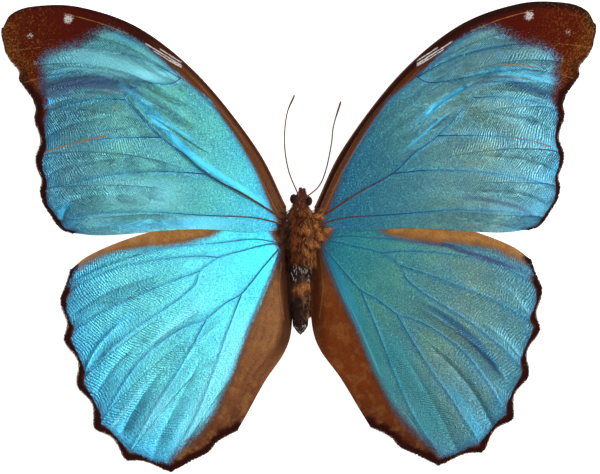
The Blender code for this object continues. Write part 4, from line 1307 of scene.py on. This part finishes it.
def skin_point(fore, angle):
    """A point of the skin; angle 0 is the animal's right and a quarter turn is the back."""
    cos, sin = np.cos(angle), np.sin(angle)
    width, height, centre = np.moveaxis(section_at(fore), -1, 0)
    behind, front = COAT_DEPTHS
    depth = np.minimum(behind + (front - behind) * smooth(fore, -9, -5), THIN_PART * width)
    segment = np.clip((ABDOMEN_FRONT - fore) / (ABDOMEN_FRONT - REAR), 0, 1) * SEGMENTS
    step = SEGMENT_STEP * ((segment % 1) ** 2 - 0.5) * smooth(fore, ABDOMEN_FRONT, ABDOMEN_FRONT - 0.4)
    groove = GROOVE_DEPTH * np.exp(-(((angle - np.pi / 2) / GROOVE_WIDTH) ** 2))
    groove = groove * smooth(fore, -5.5, -4) * smooth(fore, 5, 3.6)
    lumps = LUMP_HEIGHT * lattice_noise(fore / 0.9 + 40, 8 * cos + 3 * sin + 40, 3)
    inset = depth - step + groove - lumps * smooth(fore, -25, -22.5)
    x, z = (width - inset) * cos, centre + (height - inset) * sin
    return turn_head(np.stack([x, fore + np.zeros_like(x), z], axis=-1)) + ROOT


def skin_frame(fore, angle):
    """A point of the skin in metres, with its outward normal and the direction towards the tail."""
    point = skin_point(fore, angle)
    ahead, aside = skin_point(fore + 0.05, angle), skin_point(fore, angle + 0.02)
    tail, side = point - ahead, aside - point
    return point * MM, unit(np.cross(side, tail)), unit(tail)


def skin_unwrap(fore, angle):
    around = (angle - 1.5 * np.pi) / (2 * np.pi) % 1
    return np.stack([0.01 + 0.98 * around, 0.01 + 0.98 * (fore - REAR) / (FRONT - REAR)], axis=-1)


def add_skin(finish):
    steps = np.linspace(0, 1, SKIN_RINGS)
    fore = REAR + 0.02 + (FRONT - REAR - 0.04) * steps
    angles = np.arange(SKIN_SIDES) * 2 * np.pi / SKIN_SIDES
    grid_fore, grid_angle = np.meshgrid(fore, angles, indexing="ij")
    points = skin_point(grid_fore, grid_angle)
    index = np.arange(points[..., 0].size).reshape(grid_fore.shape)
    after = np.roll(index, -1, axis=1)
    walls = np.stack([index[:-1], index[1:], after[1:], after[:-1]], axis=-1).reshape(-1, 4)
    ends = [points[0].mean(axis=0), points[-1].mean(axis=0)]
    count = index.size
    rear = np.stack([index[0], after[0], np.full(SKIN_SIDES, count)], axis=-1)
    front = np.stack([after[-1], index[-1], np.full(SKIN_SIDES, count + 1)], axis=-1)
    verts = np.concatenate([points.reshape(-1, 3), ends]) * MM
    fores = np.concatenate([grid_fore.ravel(), [REAR, FRONT]])
    ups = np.concatenate([np.sin(grid_angle).ravel(), [0, 0]])
    still = np.zeros_like(fores)
    aside = np.concatenate([points[..., 0].ravel(), [0, 0]])
    fields = {"fore": fores, "up": ups, "aside": aside, "tip": still, "tint": still + 0.5, "pale": still}
    obj = add_mesh("body_skin", verts, [walls, np.concatenate([rear, front])], [finish], fields)
    uv = skin_unwrap(grid_fore, grid_angle).reshape(-1, 2)
    add_unwrap(obj, np.concatenate([uv, [(0.5, 0.004), (0.5, 0.996)]]))
    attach(obj, "root")
    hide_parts("head", "prothorax", "thorax", "abdomen")


def add_blades(name, finish, roots, lie, normals, length, width, bend, uv, fields, rng):
    """A piece of fur or scales: blades with a value of each field for every blade."""
    verts, faces, tip, per_blade = blades(roots, lie, normals, length, width, width * BLADE_FLATNESS, bend)
    values = {key: np.repeat(value, per_blade) for key, value in fields.items()}
    values["aside"] = np.repeat(roots[:, 0] / MM, per_blade)
    obj = add_mesh(name, verts, faces, [finish], {"tip": tip, **values})
    add_unwrap(obj, blade_unwrap(uv, per_blade, rng))
    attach(obj, "root")


# The coat on each stretch of the body: rear, front, count, length, half width, lift, looseness, and the
# share of broad tufts.
COAT = {
    "abdomen_scales": (-24, -7.3, 8000, (0.45, 0.8), 0.08, 0.2, 0.25, 0.1),
    "thorax_fur": (-7.4, 5.6, 6500, (0.9, 1.9), 0.085, 0.65, 0.9, 0.3),
    "head_fur": (5.3, 9, 4200, (0.4, 1), 0.045, 0.85, 0.8, 0.3),
}


def tuft_places(rng, rear, front, count):
    """Random places on the skin, fewer where the body is thin."""
    fore = rng.uniform(rear, front, count)
    angle = rng.uniform(0, 2 * np.pi, count)
    keep = rng.uniform(size=count) < np.clip(section_at(fore)[:, 0] / 2.4, 0.15, 1) ** 0.5
    return fore[keep], angle[keep]


def pale_tufts(rng, fore, angle, clump):
    """Which tufts are pale, partly real pale hairs and partly painted glints: clumps round the waist, most
    on the right, the lit side, and a few on head and tail.
    """
    up, count = np.sin(angle), len(fore)
    chance = (0.02 + 0.2 * smooth(clump, 0.05, 0.4)) * (0.45 + 0.55 * smooth(np.cos(angle), -0.5, 0.3))
    waist = (rng.uniform(size=count) < chance) & (fore > -11.2) & (fore < -6.6) & (up > 0.1)
    head = (rng.uniform(size=count) < 0.02) & (fore > 5.2)
    tail = (rng.uniform(size=count) < 0.1) & (fore < -21.8) & (up > 0.3)
    return waist | head | tail


def add_coat(finish):
    """Tufts on the skin, clumped, lying towards the tail; those on the face stand up and point forwards."""
    for seed, (name, row) in enumerate(COAT.items()):
        rear, front, count, lengths, half_width, lift, loose, broad_share = row
        rng = np.random.default_rng(100 + seed)
        fore, angle = tuft_places(rng, rear, front, count)
        count = len(fore)
        roots, normals, tail = skin_frame(fore, angle)
        side = np.cross(normals, tail)
        clump = lattice_noise(fore + 60, angle * 2.9 + 60, 21 + seed)
        sway = loose * (0.8 * clump + 0.5 * rng.normal(size=count))
        rough = lattice_noise(fore / 0.7 + 90, angle * 4 + 90, 31 + seed)
        rise = 1 + 0.55 * rough + rng.normal(0, 0.12, count)
        if name == "head_fur":
            tail = unit(tail - 1.2 * smooth(fore, 7.4, 8.6)[:, None] * tail)
        lie = unit(tail + side * sway[:, None] + normals * np.maximum(lift * rise, 0.05)[:, None])
        length = rng.uniform(*lengths, count) * (1 + 0.35 * clump) * MM
        length *= 1 - 0.45 * smooth(fore, -22, -23.9) * (name == "abdomen_scales")
        width = rng.uniform(0.7, 1.2, count) * half_width * MM
        pale = pale_tufts(rng, fore, angle, clump)
        broad = rng.uniform(size=count) < broad_share
        width *= np.where(pale, 1.5, 1) * np.where(broad, 2, 1)
        # Broad tufts are tinted more golden, as painted highlights.
        tint = np.clip(0.43 + 0.55 * clump + 0.2 * rng.normal(size=count) + 0.15 * broad, 0, 1)
        fields = {"fore": fore + 0.7 * clump, "up": np.sin(angle), "tint": tint, "pale": pale}
        bend = rng.uniform(0, 0.25, count)
        uv = skin_unwrap(fore, angle)
        roots = roots - normals * 0.03 * MM
        add_blades(name, finish, roots, lie, normals, length, width, bend, uv, fields, rng)


# Patches of fur on the wings' roots: the sides they are on, wing, centre, spread, count, length, and the
# hairs' direction on a right wing.
ROOT_FUR = [
    ("left right", "forewing", (3.8, 3.4), (0.9, 1.7), 750, (0.6, 1.3), (0.6, -0.35)),
    ("left right", "forewing", (4, 1.5), (1.2, 0.9), 700, (0.6, 1.3), (1, -0.5)),
    ("left right", "hindwing", (4.2, 0), (1.2, 0.8), 700, (0.6, 1.3), (1, -0.5)),
    ("left right", "hindwing", (4, -2.2), (0.9, 1.4), 700, (0.6, 1.2), (0.6, -0.8)),
    ("left right", "hindwing", (3.3, -6.4), (0.35, 2.6), 350, (1, 2), (0.22, -1)),
    ("right", "forewing", (5.4, 1), (1.6, 0.7), 420, (0.5, 1.1), (1, -0.4)),
]


def add_wing_hair(side, surfaces, finish):
    """Fur over the wings' roots, and long hairs down the hindwing's inner field beside the abdomen."""
    rng = np.random.default_rng(300)
    groups = []
    for sides, kind, centre, spread, count, lengths, direction in ROOT_FUR:
        if side not in sides:
            continue
        plan = np.array(centre) + rng.normal(0, 0.55, (count, 2)) * np.array(spread)
        plan[:, 0] = np.maximum(plan[:, 0], 2.7)
        placed = place_plan(plan, kind, side)
        heights, normals = drop_on(surfaces[kind], placed)
        roots = np.column_stack([placed, heights]) + normals * 0.05 * MM
        clump = lattice_noise(plan[:, 0] / 0.8 + 30, plan[:, 1] / 0.8 + 30, 41)
        lie = np.array([SIGN[side] * direction[0], direction[1], 0]) + rng.normal(0, 0.3, (count, 3))
        lie[:, 0] += 1.1 * clump
        lie -= normals * (lie * normals).sum(axis=1, keepdims=True)
        lie = unit(unit(lie) + normals * rng.uniform(0.04, 0.3, (count, 1)))
        length = rng.uniform(*lengths, count) * (1 + 0.4 * clump) * (0.8 if side == "left" else 1) * MM
        fields = {
            "fore": 1.5 + rng.normal(0, 1.2, count),
            "up": np.full(count, 0.9),
            "tint": np.clip(0.45 + 0.6 * clump + 0.2 * rng.normal(size=count), 0, 1),
            "pale": np.zeros(count),
        }
        uv = np.stack([(plan[:, 0] + 2) / 16, (plan[:, 1] + 34) / 44], axis=-1)
        groups.append((roots, lie, normals, length, rng.uniform(0.04, 0.08, count) * MM, uv, fields))
    *columns, patch_fields = zip(*groups)
    roots, lie, normals, length, width, uv = (np.concatenate(column) for column in columns)
    fields = {key: np.concatenate([patch[key] for patch in patch_fields]) for key in patch_fields[0]}
    bend = rng.uniform(0, 0.15, len(roots))
    add_blades(f"wing_root_fur_{side}", finish, roots, lie, normals, length, width, bend, uv, fields, rng)


def add_eye(side, finish):
    """A compound eye: an ovoid covered with small domed facets."""
    low, high = (np.array(corner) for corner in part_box(f"eye_{side}"))
    centre, radii = (low + high) / 2, (high - low) / 2
    bm = bmesh.new()
    bmesh.ops.create_icosphere(bm, subdivisions=4, radius=1)
    facets = KDTree(len(bm.verts))
    for k, vert in enumerate(bm.verts):
        facets.insert(vert.co, k)
    facets.balance()
    bmesh.ops.subdivide_edges(bm, edges=bm.edges, cuts=2, use_grid_fill=True)
    reach, swell, ground = 0.085, 0.012, 0.975  # a facet's width, its rise, and the size of the ball below
    shape = []
    for vert in bm.verts:
        vert.co.normalize()
        _, _, away = facets.find(vert.co)
        shape.append(1 - min(away / reach, 1) ** 2)
        vert.co *= ground + swell * shape[-1]
        vert.co = Vector(centre) + Vector([c * r for c, r in zip(vert.co, radii)])
    mesh = bpy.data.meshes.new(f"compound_eye_{side}")
    bm.to_mesh(mesh)
    bm.free()
    mesh.shade_smooth()
    mesh.materials.append(finish)
    dome = mesh.attributes.new("dome", "FLOAT", "POINT")
    dome.data.foreach_set("value", np.array(shape, np.float32))
    obj = bpy.data.objects.new(f"compound_eye_{side}", mesh)
    bpy.context.scene.collection.objects.link(obj)
    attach(obj, "root")
    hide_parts(f"eye_{side}")


PALP_SIDES, PALP_HAIRS = 14, 1300


def add_palp(side, finish):
    """A palp: a small upturned club, with short fur all over."""
    low, high = (np.array(corner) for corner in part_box(f"palp_{side}"))
    middle = (low[0] + high[0]) / 2
    base = np.array([middle, low[1], low[2]]) + np.array([-0.1 * SIGN[side], -0.5, 0.1]) * MM
    top = np.array([middle, high[1], high[2]]) + np.array([-0.22 * SIGN[side], -0.22, -0.3]) * MM
    steps = np.linspace(0, 1, 24)
    path = base + (top - base) * steps[:, None]
    path[:, 1] += 0.12 * MM * np.sin(steps * np.pi)
    radii = (0.1 + 0.3 * (1 - steps) ** 0.6) * MM
    verts, quads, caps, _, run = tube(path, radii, PALP_SIDES, up=(1, 0, 0))
    plain = np.zeros(len(verts))
    fields = {key: plain for key in ("up", "aside", "tip", "pale")}
    fields = {**fields, "fore": plain + 7.8, "tint": plain + 0.3}
    obj = add_mesh(f"palp_skin_{side}", verts, [quads, np.array(caps)], [finish], fields)
    around = np.tile(np.arange(PALP_SIDES) / PALP_SIDES, len(steps))
    add_unwrap(obj, np.stack([around, run], axis=-1))
    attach(obj, "root")
    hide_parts(f"palp_{side}")
    add_palp_fur(side, path, radii, unit(top - base), finish)


def add_palp_fur(side, path, radii, axis, finish):
    """Short fur all round a palp, leaning towards its tip."""
    rng = np.random.default_rng(400)
    count, steps = PALP_HAIRS, np.linspace(0, 1, len(path))
    place, angle = rng.uniform(0, 1, count), rng.uniform(0, 2 * np.pi, count)
    across = unit(np.cross(axis, (1, 0, 0)))
    other = np.cross(axis, across)
    normals = np.cos(angle)[:, None] * across + np.sin(angle)[:, None] * other
    centres = np.stack([np.interp(place, steps, path[:, i]) for i in range(3)], axis=-1)
    roots = centres + normals * (np.interp(place, steps, radii) * 0.9)[:, None]
    lie = unit(axis + normals * rng.uniform(0.15, 0.8, (count, 1)) + rng.normal(0, 0.16, (count, 3)))
    # A few pale hairs, partly painted glints.
    tint, pale = rng.uniform(0.1, 0.9, count), rng.uniform(size=count) < 0.02
    fields = {"fore": np.full(count, 6.2), "up": normals[:, 2], "tint": tint, "pale": pale}
    length = rng.uniform(0.3, 0.62, count) * MM
    width = rng.uniform(0.025, 0.055, count) * MM
    uv = np.stack([angle / (2 * np.pi), place], axis=-1)
    bend = np.zeros(count)
    add_blades(f"palp_fur_{side}", finish, roots, lie, normals, length, width, bend, uv, fields, rng)


# ---------------------------------------------------------------- feelers, tongue and legs

# Points of the feelers' and legs' middle lines, from the level and the middle of the wing roots.
ANTENNAE = {
    "left": [(-0.45, 8.2, -0.1), (-0.6, 8.98, 0.3), (-2.8, 14.5, 2.3), (-3.75, 21, 3.7), (-3.2, 27.6, 4.9),
             (-1.4, 32.2, 5.6)],
    "right": [(1.1, 7.8, -0.1), (1.7, 8.45, 0.35), (4.35, 10.8, 1.7), (6, 14.6, 2.4), (7.3, 20.8, 3.7),
              (7.8, 25, 4.6), (9.5, 30.7, 5.6)],
}
LEGS = {
    "foreleg": [(1.1, 3.4, -5.2), (1.5, 4.6, -5.6), (1.35, 6, -5), (1.3, 6.9, -4.6)],
    "midleg": [(1.95, 0.9, -5.7), (2.3, 1.3, -6.5), (5.4, 3.2, -6.3), (3.9, -3.6, -7.3), (3.4, -8.2, -7.6)],
    "hindleg": [(1.9, -2.9, -5.4), (2.3, -3.4, -6.1), (5, -5.6, -5.4), (2.9, -11.4, -6.9), (2.5, -16, -7.3)],
}
LEG_RADII, LEG_SIDES, FOOT_JOINTS, BRISTLES = (0.36, 0.34, 0.26, 0.19, 0.13), 12, 5, 700
CLAW_LENGTH, CLAW_BOW, CLAW_DROP = 0.28, 0.12, 0.1
COIL_CENTRE, COIL_TURNS, COIL_START, COIL_GROWTH, COIL_RIBS = (8.5, -4.75), 1.75, 0.35, 0.6, 82


def add_tube_piece(name, parts, finish, node):
    verts, faces, height, run = joined(parts)
    obj = add_mesh(name, verts, faces, [finish], {"run": run, "dorsal": height})
    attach(obj, "root")
    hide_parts(node)


def add_antenna(side, finish):
    """A feeler of many short joints, on a stout root, that thickens slightly towards its tip."""
    joints, per_joint = 58, 5
    steps = np.linspace(0, 1, joints * per_joint + 1)
    path = (curve(ANTENNAE[side], steps) + ROOT) * MM
    joint = 0.15 * (1 + 0.16 * np.sin(np.pi * (steps * joints % 1)))
    root = 0.14 * np.exp(-steps * 60)
    club = 0.075 * smooth(steps, 0.82, 0.94) * smooth(steps, 1.004, 0.97)
    parts = [tube(path, (joint + root + club) * MM, 10)]
    add_tube_piece(f"feeler_{side}", parts, finish, f"antenna_{side}")


def add_proboscis(finish):
    """The ribbed tongue, coiled like a watch spring under the head."""
    steps = np.linspace(0, 1, 330)
    angle = 2 * np.pi * COIL_TURNS * steps
    radius = COIL_START + COIL_GROWTH * COIL_TURNS * steps
    fore, height = COIL_CENTRE[0] + radius * np.cos(angle), COIL_CENTRE[1] + radius * np.sin(angle)
    path = np.stack([np.zeros_like(steps), fore, height], axis=-1)
    ribs = 0.012 * np.sin(2 * np.pi * steps * COIL_RIBS)
    radii = 0.11 + 0.09 * steps + ribs
    radii[0] = 0.04
    add_tube_piece("tongue", [tube((path + ROOT) * MM, radii * MM, 12, up=(1, 0, 0))], finish, "proboscis")


def leg_stretch(start, end, thick, thin, is_foot):
    """A tube between two knots, swollen in the middle, or beaded like the joints of a foot."""
    steps = np.linspace(-0.02, 1.02, 40)
    within = np.clip(steps, 0, 1)
    swell = 1 + 0.16 * np.sin(np.pi * within)
    if is_foot:
        swell = 0.82 + 0.22 * np.abs(np.sin(np.pi * FOOT_JOINTS * within)) ** 0.6
    radii = np.interp(steps, (0, 1), (thick, thin)) * swell * MM
    radii[0], radii[-1] = radii[1] * 0.5, radii[-2] * 0.5
    return tube(start + (end - start) * steps[:, None], radii, LEG_SIDES)


def claw(tip, heading, turn):
    """One of a foot's two claws, bowed to its side and down."""
    steps = np.linspace(0, 1, 8)
    ahead, aside = heading * CLAW_LENGTH * MM, np.cross(heading, (0, 0, 1)) * turn * CLAW_BOW * MM
    path = tip + ahead * steps[:, None] + aside * np.sin(steps * 2.2)[:, None]
    path[:, 2] -= CLAW_DROP * MM * steps**2
    return tube(path, (0.05 - 0.04 * steps) * MM, 6)


def add_leg(kind, side, finish, bristle_finish):
    """Thigh, shin and a foot of five joints, with bristles and two claws."""
    knots = (np.array(LEGS[kind]) * (SIGN[side], 1, 1) + ROOT) * MM
    foot = len(knots) - 2
    parts = [leg_stretch(*knots[k:k + 2], *LEG_RADII[k:k + 2], k == foot) for k in range(foot + 1)]
    parts += [claw(knots[-1], unit(knots[-1] - knots[-2]), turn) for turn in (-1, 1)]
    add_tube_piece(f"{kind}_limb_{side}", parts, finish, f"{kind}_{side}")
    add_bristles(kind, side, knots, bristle_finish)


def add_bristles(kind, side, knots, finish):
    """Short bristles all round a leg, leaning towards its foot."""
    rng = np.random.default_rng(500)
    count, radii = BRISTLES, np.array(LEG_RADII)
    stretch = rng.integers(0, len(knots) - 1, count)
    place = rng.uniform(0, 1, count)
    start, end = knots[stretch], knots[stretch + 1]
    axis = unit(end - start)
    across = unit(np.cross(axis, rng.normal(size=(count, 3))))
    radius = radii[stretch] * (1 - place) + radii[stretch + 1] * place
    roots = start + (end - start) * place[:, None] + across * (radius * 0.95 * MM)[:, None]
    lie = unit(axis + across * rng.uniform(0.15, 0.55, (count, 1)))
    length = rng.uniform(0.18, 0.45, count) * (1.3 if kind == "foreleg" else 1) * MM
    tint = rng.uniform(0, 0.6, count)
    fields = {"fore": np.full(count, 3), "up": across[:, 2], "tint": tint, "pale": np.zeros(count)}
    uv = np.stack([rng.uniform(0, 1, count), (stretch + place) / (len(knots) - 1)], axis=-1)
    width = rng.uniform(0.014, 0.025, count) * MM
    name, bend = f"{kind}_bristles_{side}", np.zeros(count)
    add_blades(name, finish, roots, lie, across, length, width, bend, uv, fields, rng)


# ---------------------------------------------------------------- body materials

# The body's colours from tail to head, by place along it.
BODY_MARKS = (
    (0, (0.014, 0.004, 0.003)), (0.27, (0.014, 0.004, 0.003)), (0.3, (0.22, 0.065, 0.018)),
    (0.37, (0.8, 0.31, 0.08)), (0.395, (0.06, 0.02, 0.012)), (0.42, (0.015, 0.009, 0.008)),
    (0.5, (0.025, 0.012, 0.009)), (0.535, (0.27, 0.062, 0.016)), (0.84, (0.29, 0.066, 0.018)),
    (0.87, (0.3, 0.075, 0.02)), (0.9, (0.25, 0.06, 0.03)), (1, (0.23, 0.055, 0.03)),
)


def coat_finish(name, grain):
    """The body's markings, read alike by the skin and by the tufts that stand on it, with painted light from
    the right: a golden right side and golden glints, and painted shade on the left and deep in the coat.
    """
    g = Graph(name)
    up, aside, tint = g.attribute("up"), g.attribute("aside"), g.attribute("tint")
    place = (g.attribute("fore") + 25) / 35 + (g.noise(900) - 0.5) * 0.03
    marks = g.ramp(place, *BODY_MARKS)
    marks = g.mix(g.step(up, -0.2, -0.75), marks, g.mix(0.6, marks, (0.16, 0.09, 0.05)))
    # Tan flecks on the right of the abdomen's rear half, real scales kept to the lit side as painted light,
    # and a dark crescent over the left of its bright band, painted shade on the side away from the lamp.
    flecks = g.step(aside, 0.1, 1.2) * (g.step(place, 0.1, 0.17) * g.step(place, 0.31, 0.29))
    crescent = g.step(place, 0.34, 0.36) * g.step(place, 0.42, 0.4)
    marks = g.paint(
        marks,
        (flecks * g.step(g.noise(700, 3, 0.6), 0.4, 0.55, 0, 0.85), (0.42, 0.19, 0.075)),
        (crescent * g.step(aside, 0.9, -0.3, 0, 0.85), (0.02, 0.01, 0.008)),
    )
    shadowed = g.step(aside, -1.2, -2.4) * g.step(up, 0, 0.4)
    marks = g.mix(shadowed, marks, g.mix(0.7, marks, (0.04, 0.013, 0.008)))
    furred = g.step(place, 0.5, 0.53) * g.step(place, 0.89, 0.86)
    # The right of the thorax is painted golden: painted light from the lamp on the right.
    marks = g.mix(furred * g.step(aside, 0.6, 2.2, 0, 0.75), marks, (0.85, 0.3, 0.085))
    # Golden tufts, far more on the right: partly the fur's own tint, partly painted glints.
    golden = g.step(tint, 0.5, 0.85) * g.step(aside, -1.2, 1.8, 0.15, 1) * g.step(furred, 0, 1, 0.2, 1)
    # Dark tufts: painted shade in the coat's hollows.
    hollow = g.step(tint, 0.45, 0.22) * g.step(furred, 0, 1, 0.45, 0.9)
    colour = g.paint(
        g.mix(golden, marks, g.mix(0.9, marks, (1, 0.44, 0.12))),
        (hollow, (0.045, 0.01, 0.005)),
        # Darker towards each blade's root: painted shade deep in the coat.
        (g.step(g.attribute("tip"), 0, 0.5, 0.6, 0), (0.03, 0.008, 0.004)),
        (g.step(g.noise(2100, 2), 0.45, 0.72, 0, 0.35), (0.03, 0.01, 0.006)),
        # Pale hairs: partly real pale scales, partly painted glints.
        (g.attribute("pale"), (0.72, 0.67, 0.62)),
    )
    g.bump(g.noise(grain, 3, 0.65), 0.5, 0.00006)
    return g.finish(colour, 0.45, 0, 0.22)


def eye_finish():
    g = Graph("compound_eye")
    tone = g.mix(g.step(g.noise(700, 2), 0.35, 0.7), (0.014, 0.004, 0.004), (0.05, 0.014, 0.009))
    colour = g.mix(g.step(g.attribute("dome"), 0.5, 0, 0, 0.7), tone, (0.004, 0.002, 0.002))
    g.bump(g.noise(4000), 0.15, 0.00002)
    return g.finish(colour, 0.5, 0, 0.08)


def horn_finish(name, pale, dark):
    g = Graph(name)
    tone = g.mix(g.step(g.noise(1500), 0.35, 0.7), pale, dark)
    colour = g.mix(g.step(g.attribute("run"), 0.75, 1, 0, 0.6), tone, tuple(c * 0.4 for c in dark))
    g.bump(g.noise(3500), 0.4, 0.00003)
    return g.finish(colour, 0.42, 0, 0.45)


def add_body(surfaces):
    skin, coat = coat_finish("body_skin", 1700), coat_finish("body_coat", 3000)
    antenna = horn_finish("feeler_horn", (0.2, 0.075, 0.045), (0.11, 0.04, 0.026))
    limb = horn_finish("leg_horn", (0.1, 0.045, 0.022), (0.045, 0.02, 0.012))
    eye = eye_finish()
    add_skin(skin)
    add_coat(coat)
    add_proboscis(horn_finish("tongue_horn", (0.2, 0.1, 0.045), (0.1, 0.045, 0.02)))
    for side in SIGN:
        add_wing_hair(side, surfaces[side], coat)
        add_eye(side, eye)
        add_palp(side, coat)
        add_antenna(side, antenna)
        for kind in LEGS:
            add_leg(kind, side, limb, coat)


# ---------------------------------------------------------------- the stand


def dress_stand():
    """The frame's own base and rod: a dark satin base with a fine wrinkle, and a brushed steel rod."""
    g = Graph("stand_base_finish")
    tone = g.mix(g.step(g.noise(420, 4, 0.6), 0.3, 0.75), (0.016, 0.016, 0.018), (0.034, 0.034, 0.036))
    g.bump(g.noise(1900, 4, 0.6), 0.25, 0.00008)
    base = g.finish(tone, g.step(g.noise(500), 0.2, 0.8, 0.38, 0.52))
    g = Graph("stand_rod_finish")
    brushed = g.noise(1200, 4, 0.6, g.stretched((1, 1, 0.06)))
    g.bump(brushed, 0.15, 0.00003)
    tone = g.mix(brushed, (0.5, 0.5, 0.51), (0.66, 0.66, 0.67))
    rod = g.finish(tone, g.step(brushed, 0.2, 0.8, 0.24, 0.38), 1)
    for node, finish in (("stand_base", base), ("stand_rod", rod)):
        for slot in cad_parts[node].material_slots:
            slot.material = finish


# ---------------------------------------------------------------- floor, light and camera

FLOOR_HALF = 6
SKY_LEVELS = ((0.1, 0.8), (0.5, 0.3), (0.85, 0.12), (1, 0.08))  # upwards from the horizon: place, level
SOFTBOX_PLACE, SOFTBOX_TARGET, SOFTBOX_SIDE, SOFTBOX_ENERGY = (0.327, 0, 0.6715), (0, 0, 0.03), 0.2, 3
CAMERA_AIM, CAMERA_DISTANCE, VIEW_WIDTH = (-0.0001, 0.00812, 0.036), 3, 0.14118


def add_floor():
    g = Graph("floor")
    g.finish(g.mix(g.noise(3, 2), (0.93, 0.93, 0.93), (0.95, 0.95, 0.95)), 0.9, 0, 0.1)
    g.shader.inputs["Emission Color"].default_value = (1, 1, 1, 1)
    g.shader.inputs["Emission Strength"].default_value = 0.95
    corners = FLOOR_HALF * np.array([(-1, -1, 0), (1, -1, 0), (1, 1, 0), (-1, 1, 0)])
    floor = add_mesh("floor", corners, [np.array([[0, 1, 2, 3]])], [g.material])


def add_sky():
    """A dim studio all round, brightest low down."""
    world = bpy.data.worlds.new("studio")
    bpy.context.scene.world = world
    world.use_nodes = True
    nodes, links = world.node_tree.nodes, world.node_tree.links
    split, dome = nodes.new("ShaderNodeSeparateXYZ"), nodes.new("ShaderNodeValToRGB")
    fill_band(dome.color_ramp, [(height, (level, level, level)) for height, level in SKY_LEVELS])
    links.new(nodes.new("ShaderNodeTexCoord").outputs["Generated"], split.inputs[0])
    links.new(split.outputs["Z"], dome.inputs[0])
    links.new(dome.outputs["Color"], nodes["Background"].inputs["Color"])
    bpy.context.scene.view_settings.view_transform = "Standard"


def add_softbox():
    light = bpy.data.lights.new("softbox", "AREA")
    light.size = SOFTBOX_SIDE
    light.energy = SOFTBOX_ENERGY
    holder = bpy.data.objects.new("softbox", light)
    holder.location = SOFTBOX_PLACE
    aim = Vector(SOFTBOX_TARGET) - Vector(SOFTBOX_PLACE)
    holder.rotation_euler = aim.to_track_quat("-Z", "Y").to_euler()
    bpy.context.scene.collection.objects.link(holder)


def add_camera():
    camera = bpy.data.cameras.new("camera")
    camera.lens = camera.sensor_width * CAMERA_DISTANCE / VIEW_WIDTH
    camera.clip_end = 20
    holder = bpy.data.objects.new("camera", camera)
    holder.location = Vector(CAMERA_AIM) + Vector((0, 0, CAMERA_DISTANCE))
    bpy.context.scene.collection.objects.link(holder)
    bpy.context.scene.camera = holder


add_camera()
add_sky()
add_softbox()
add_floor()
add_body(add_wings())
dress_stand()
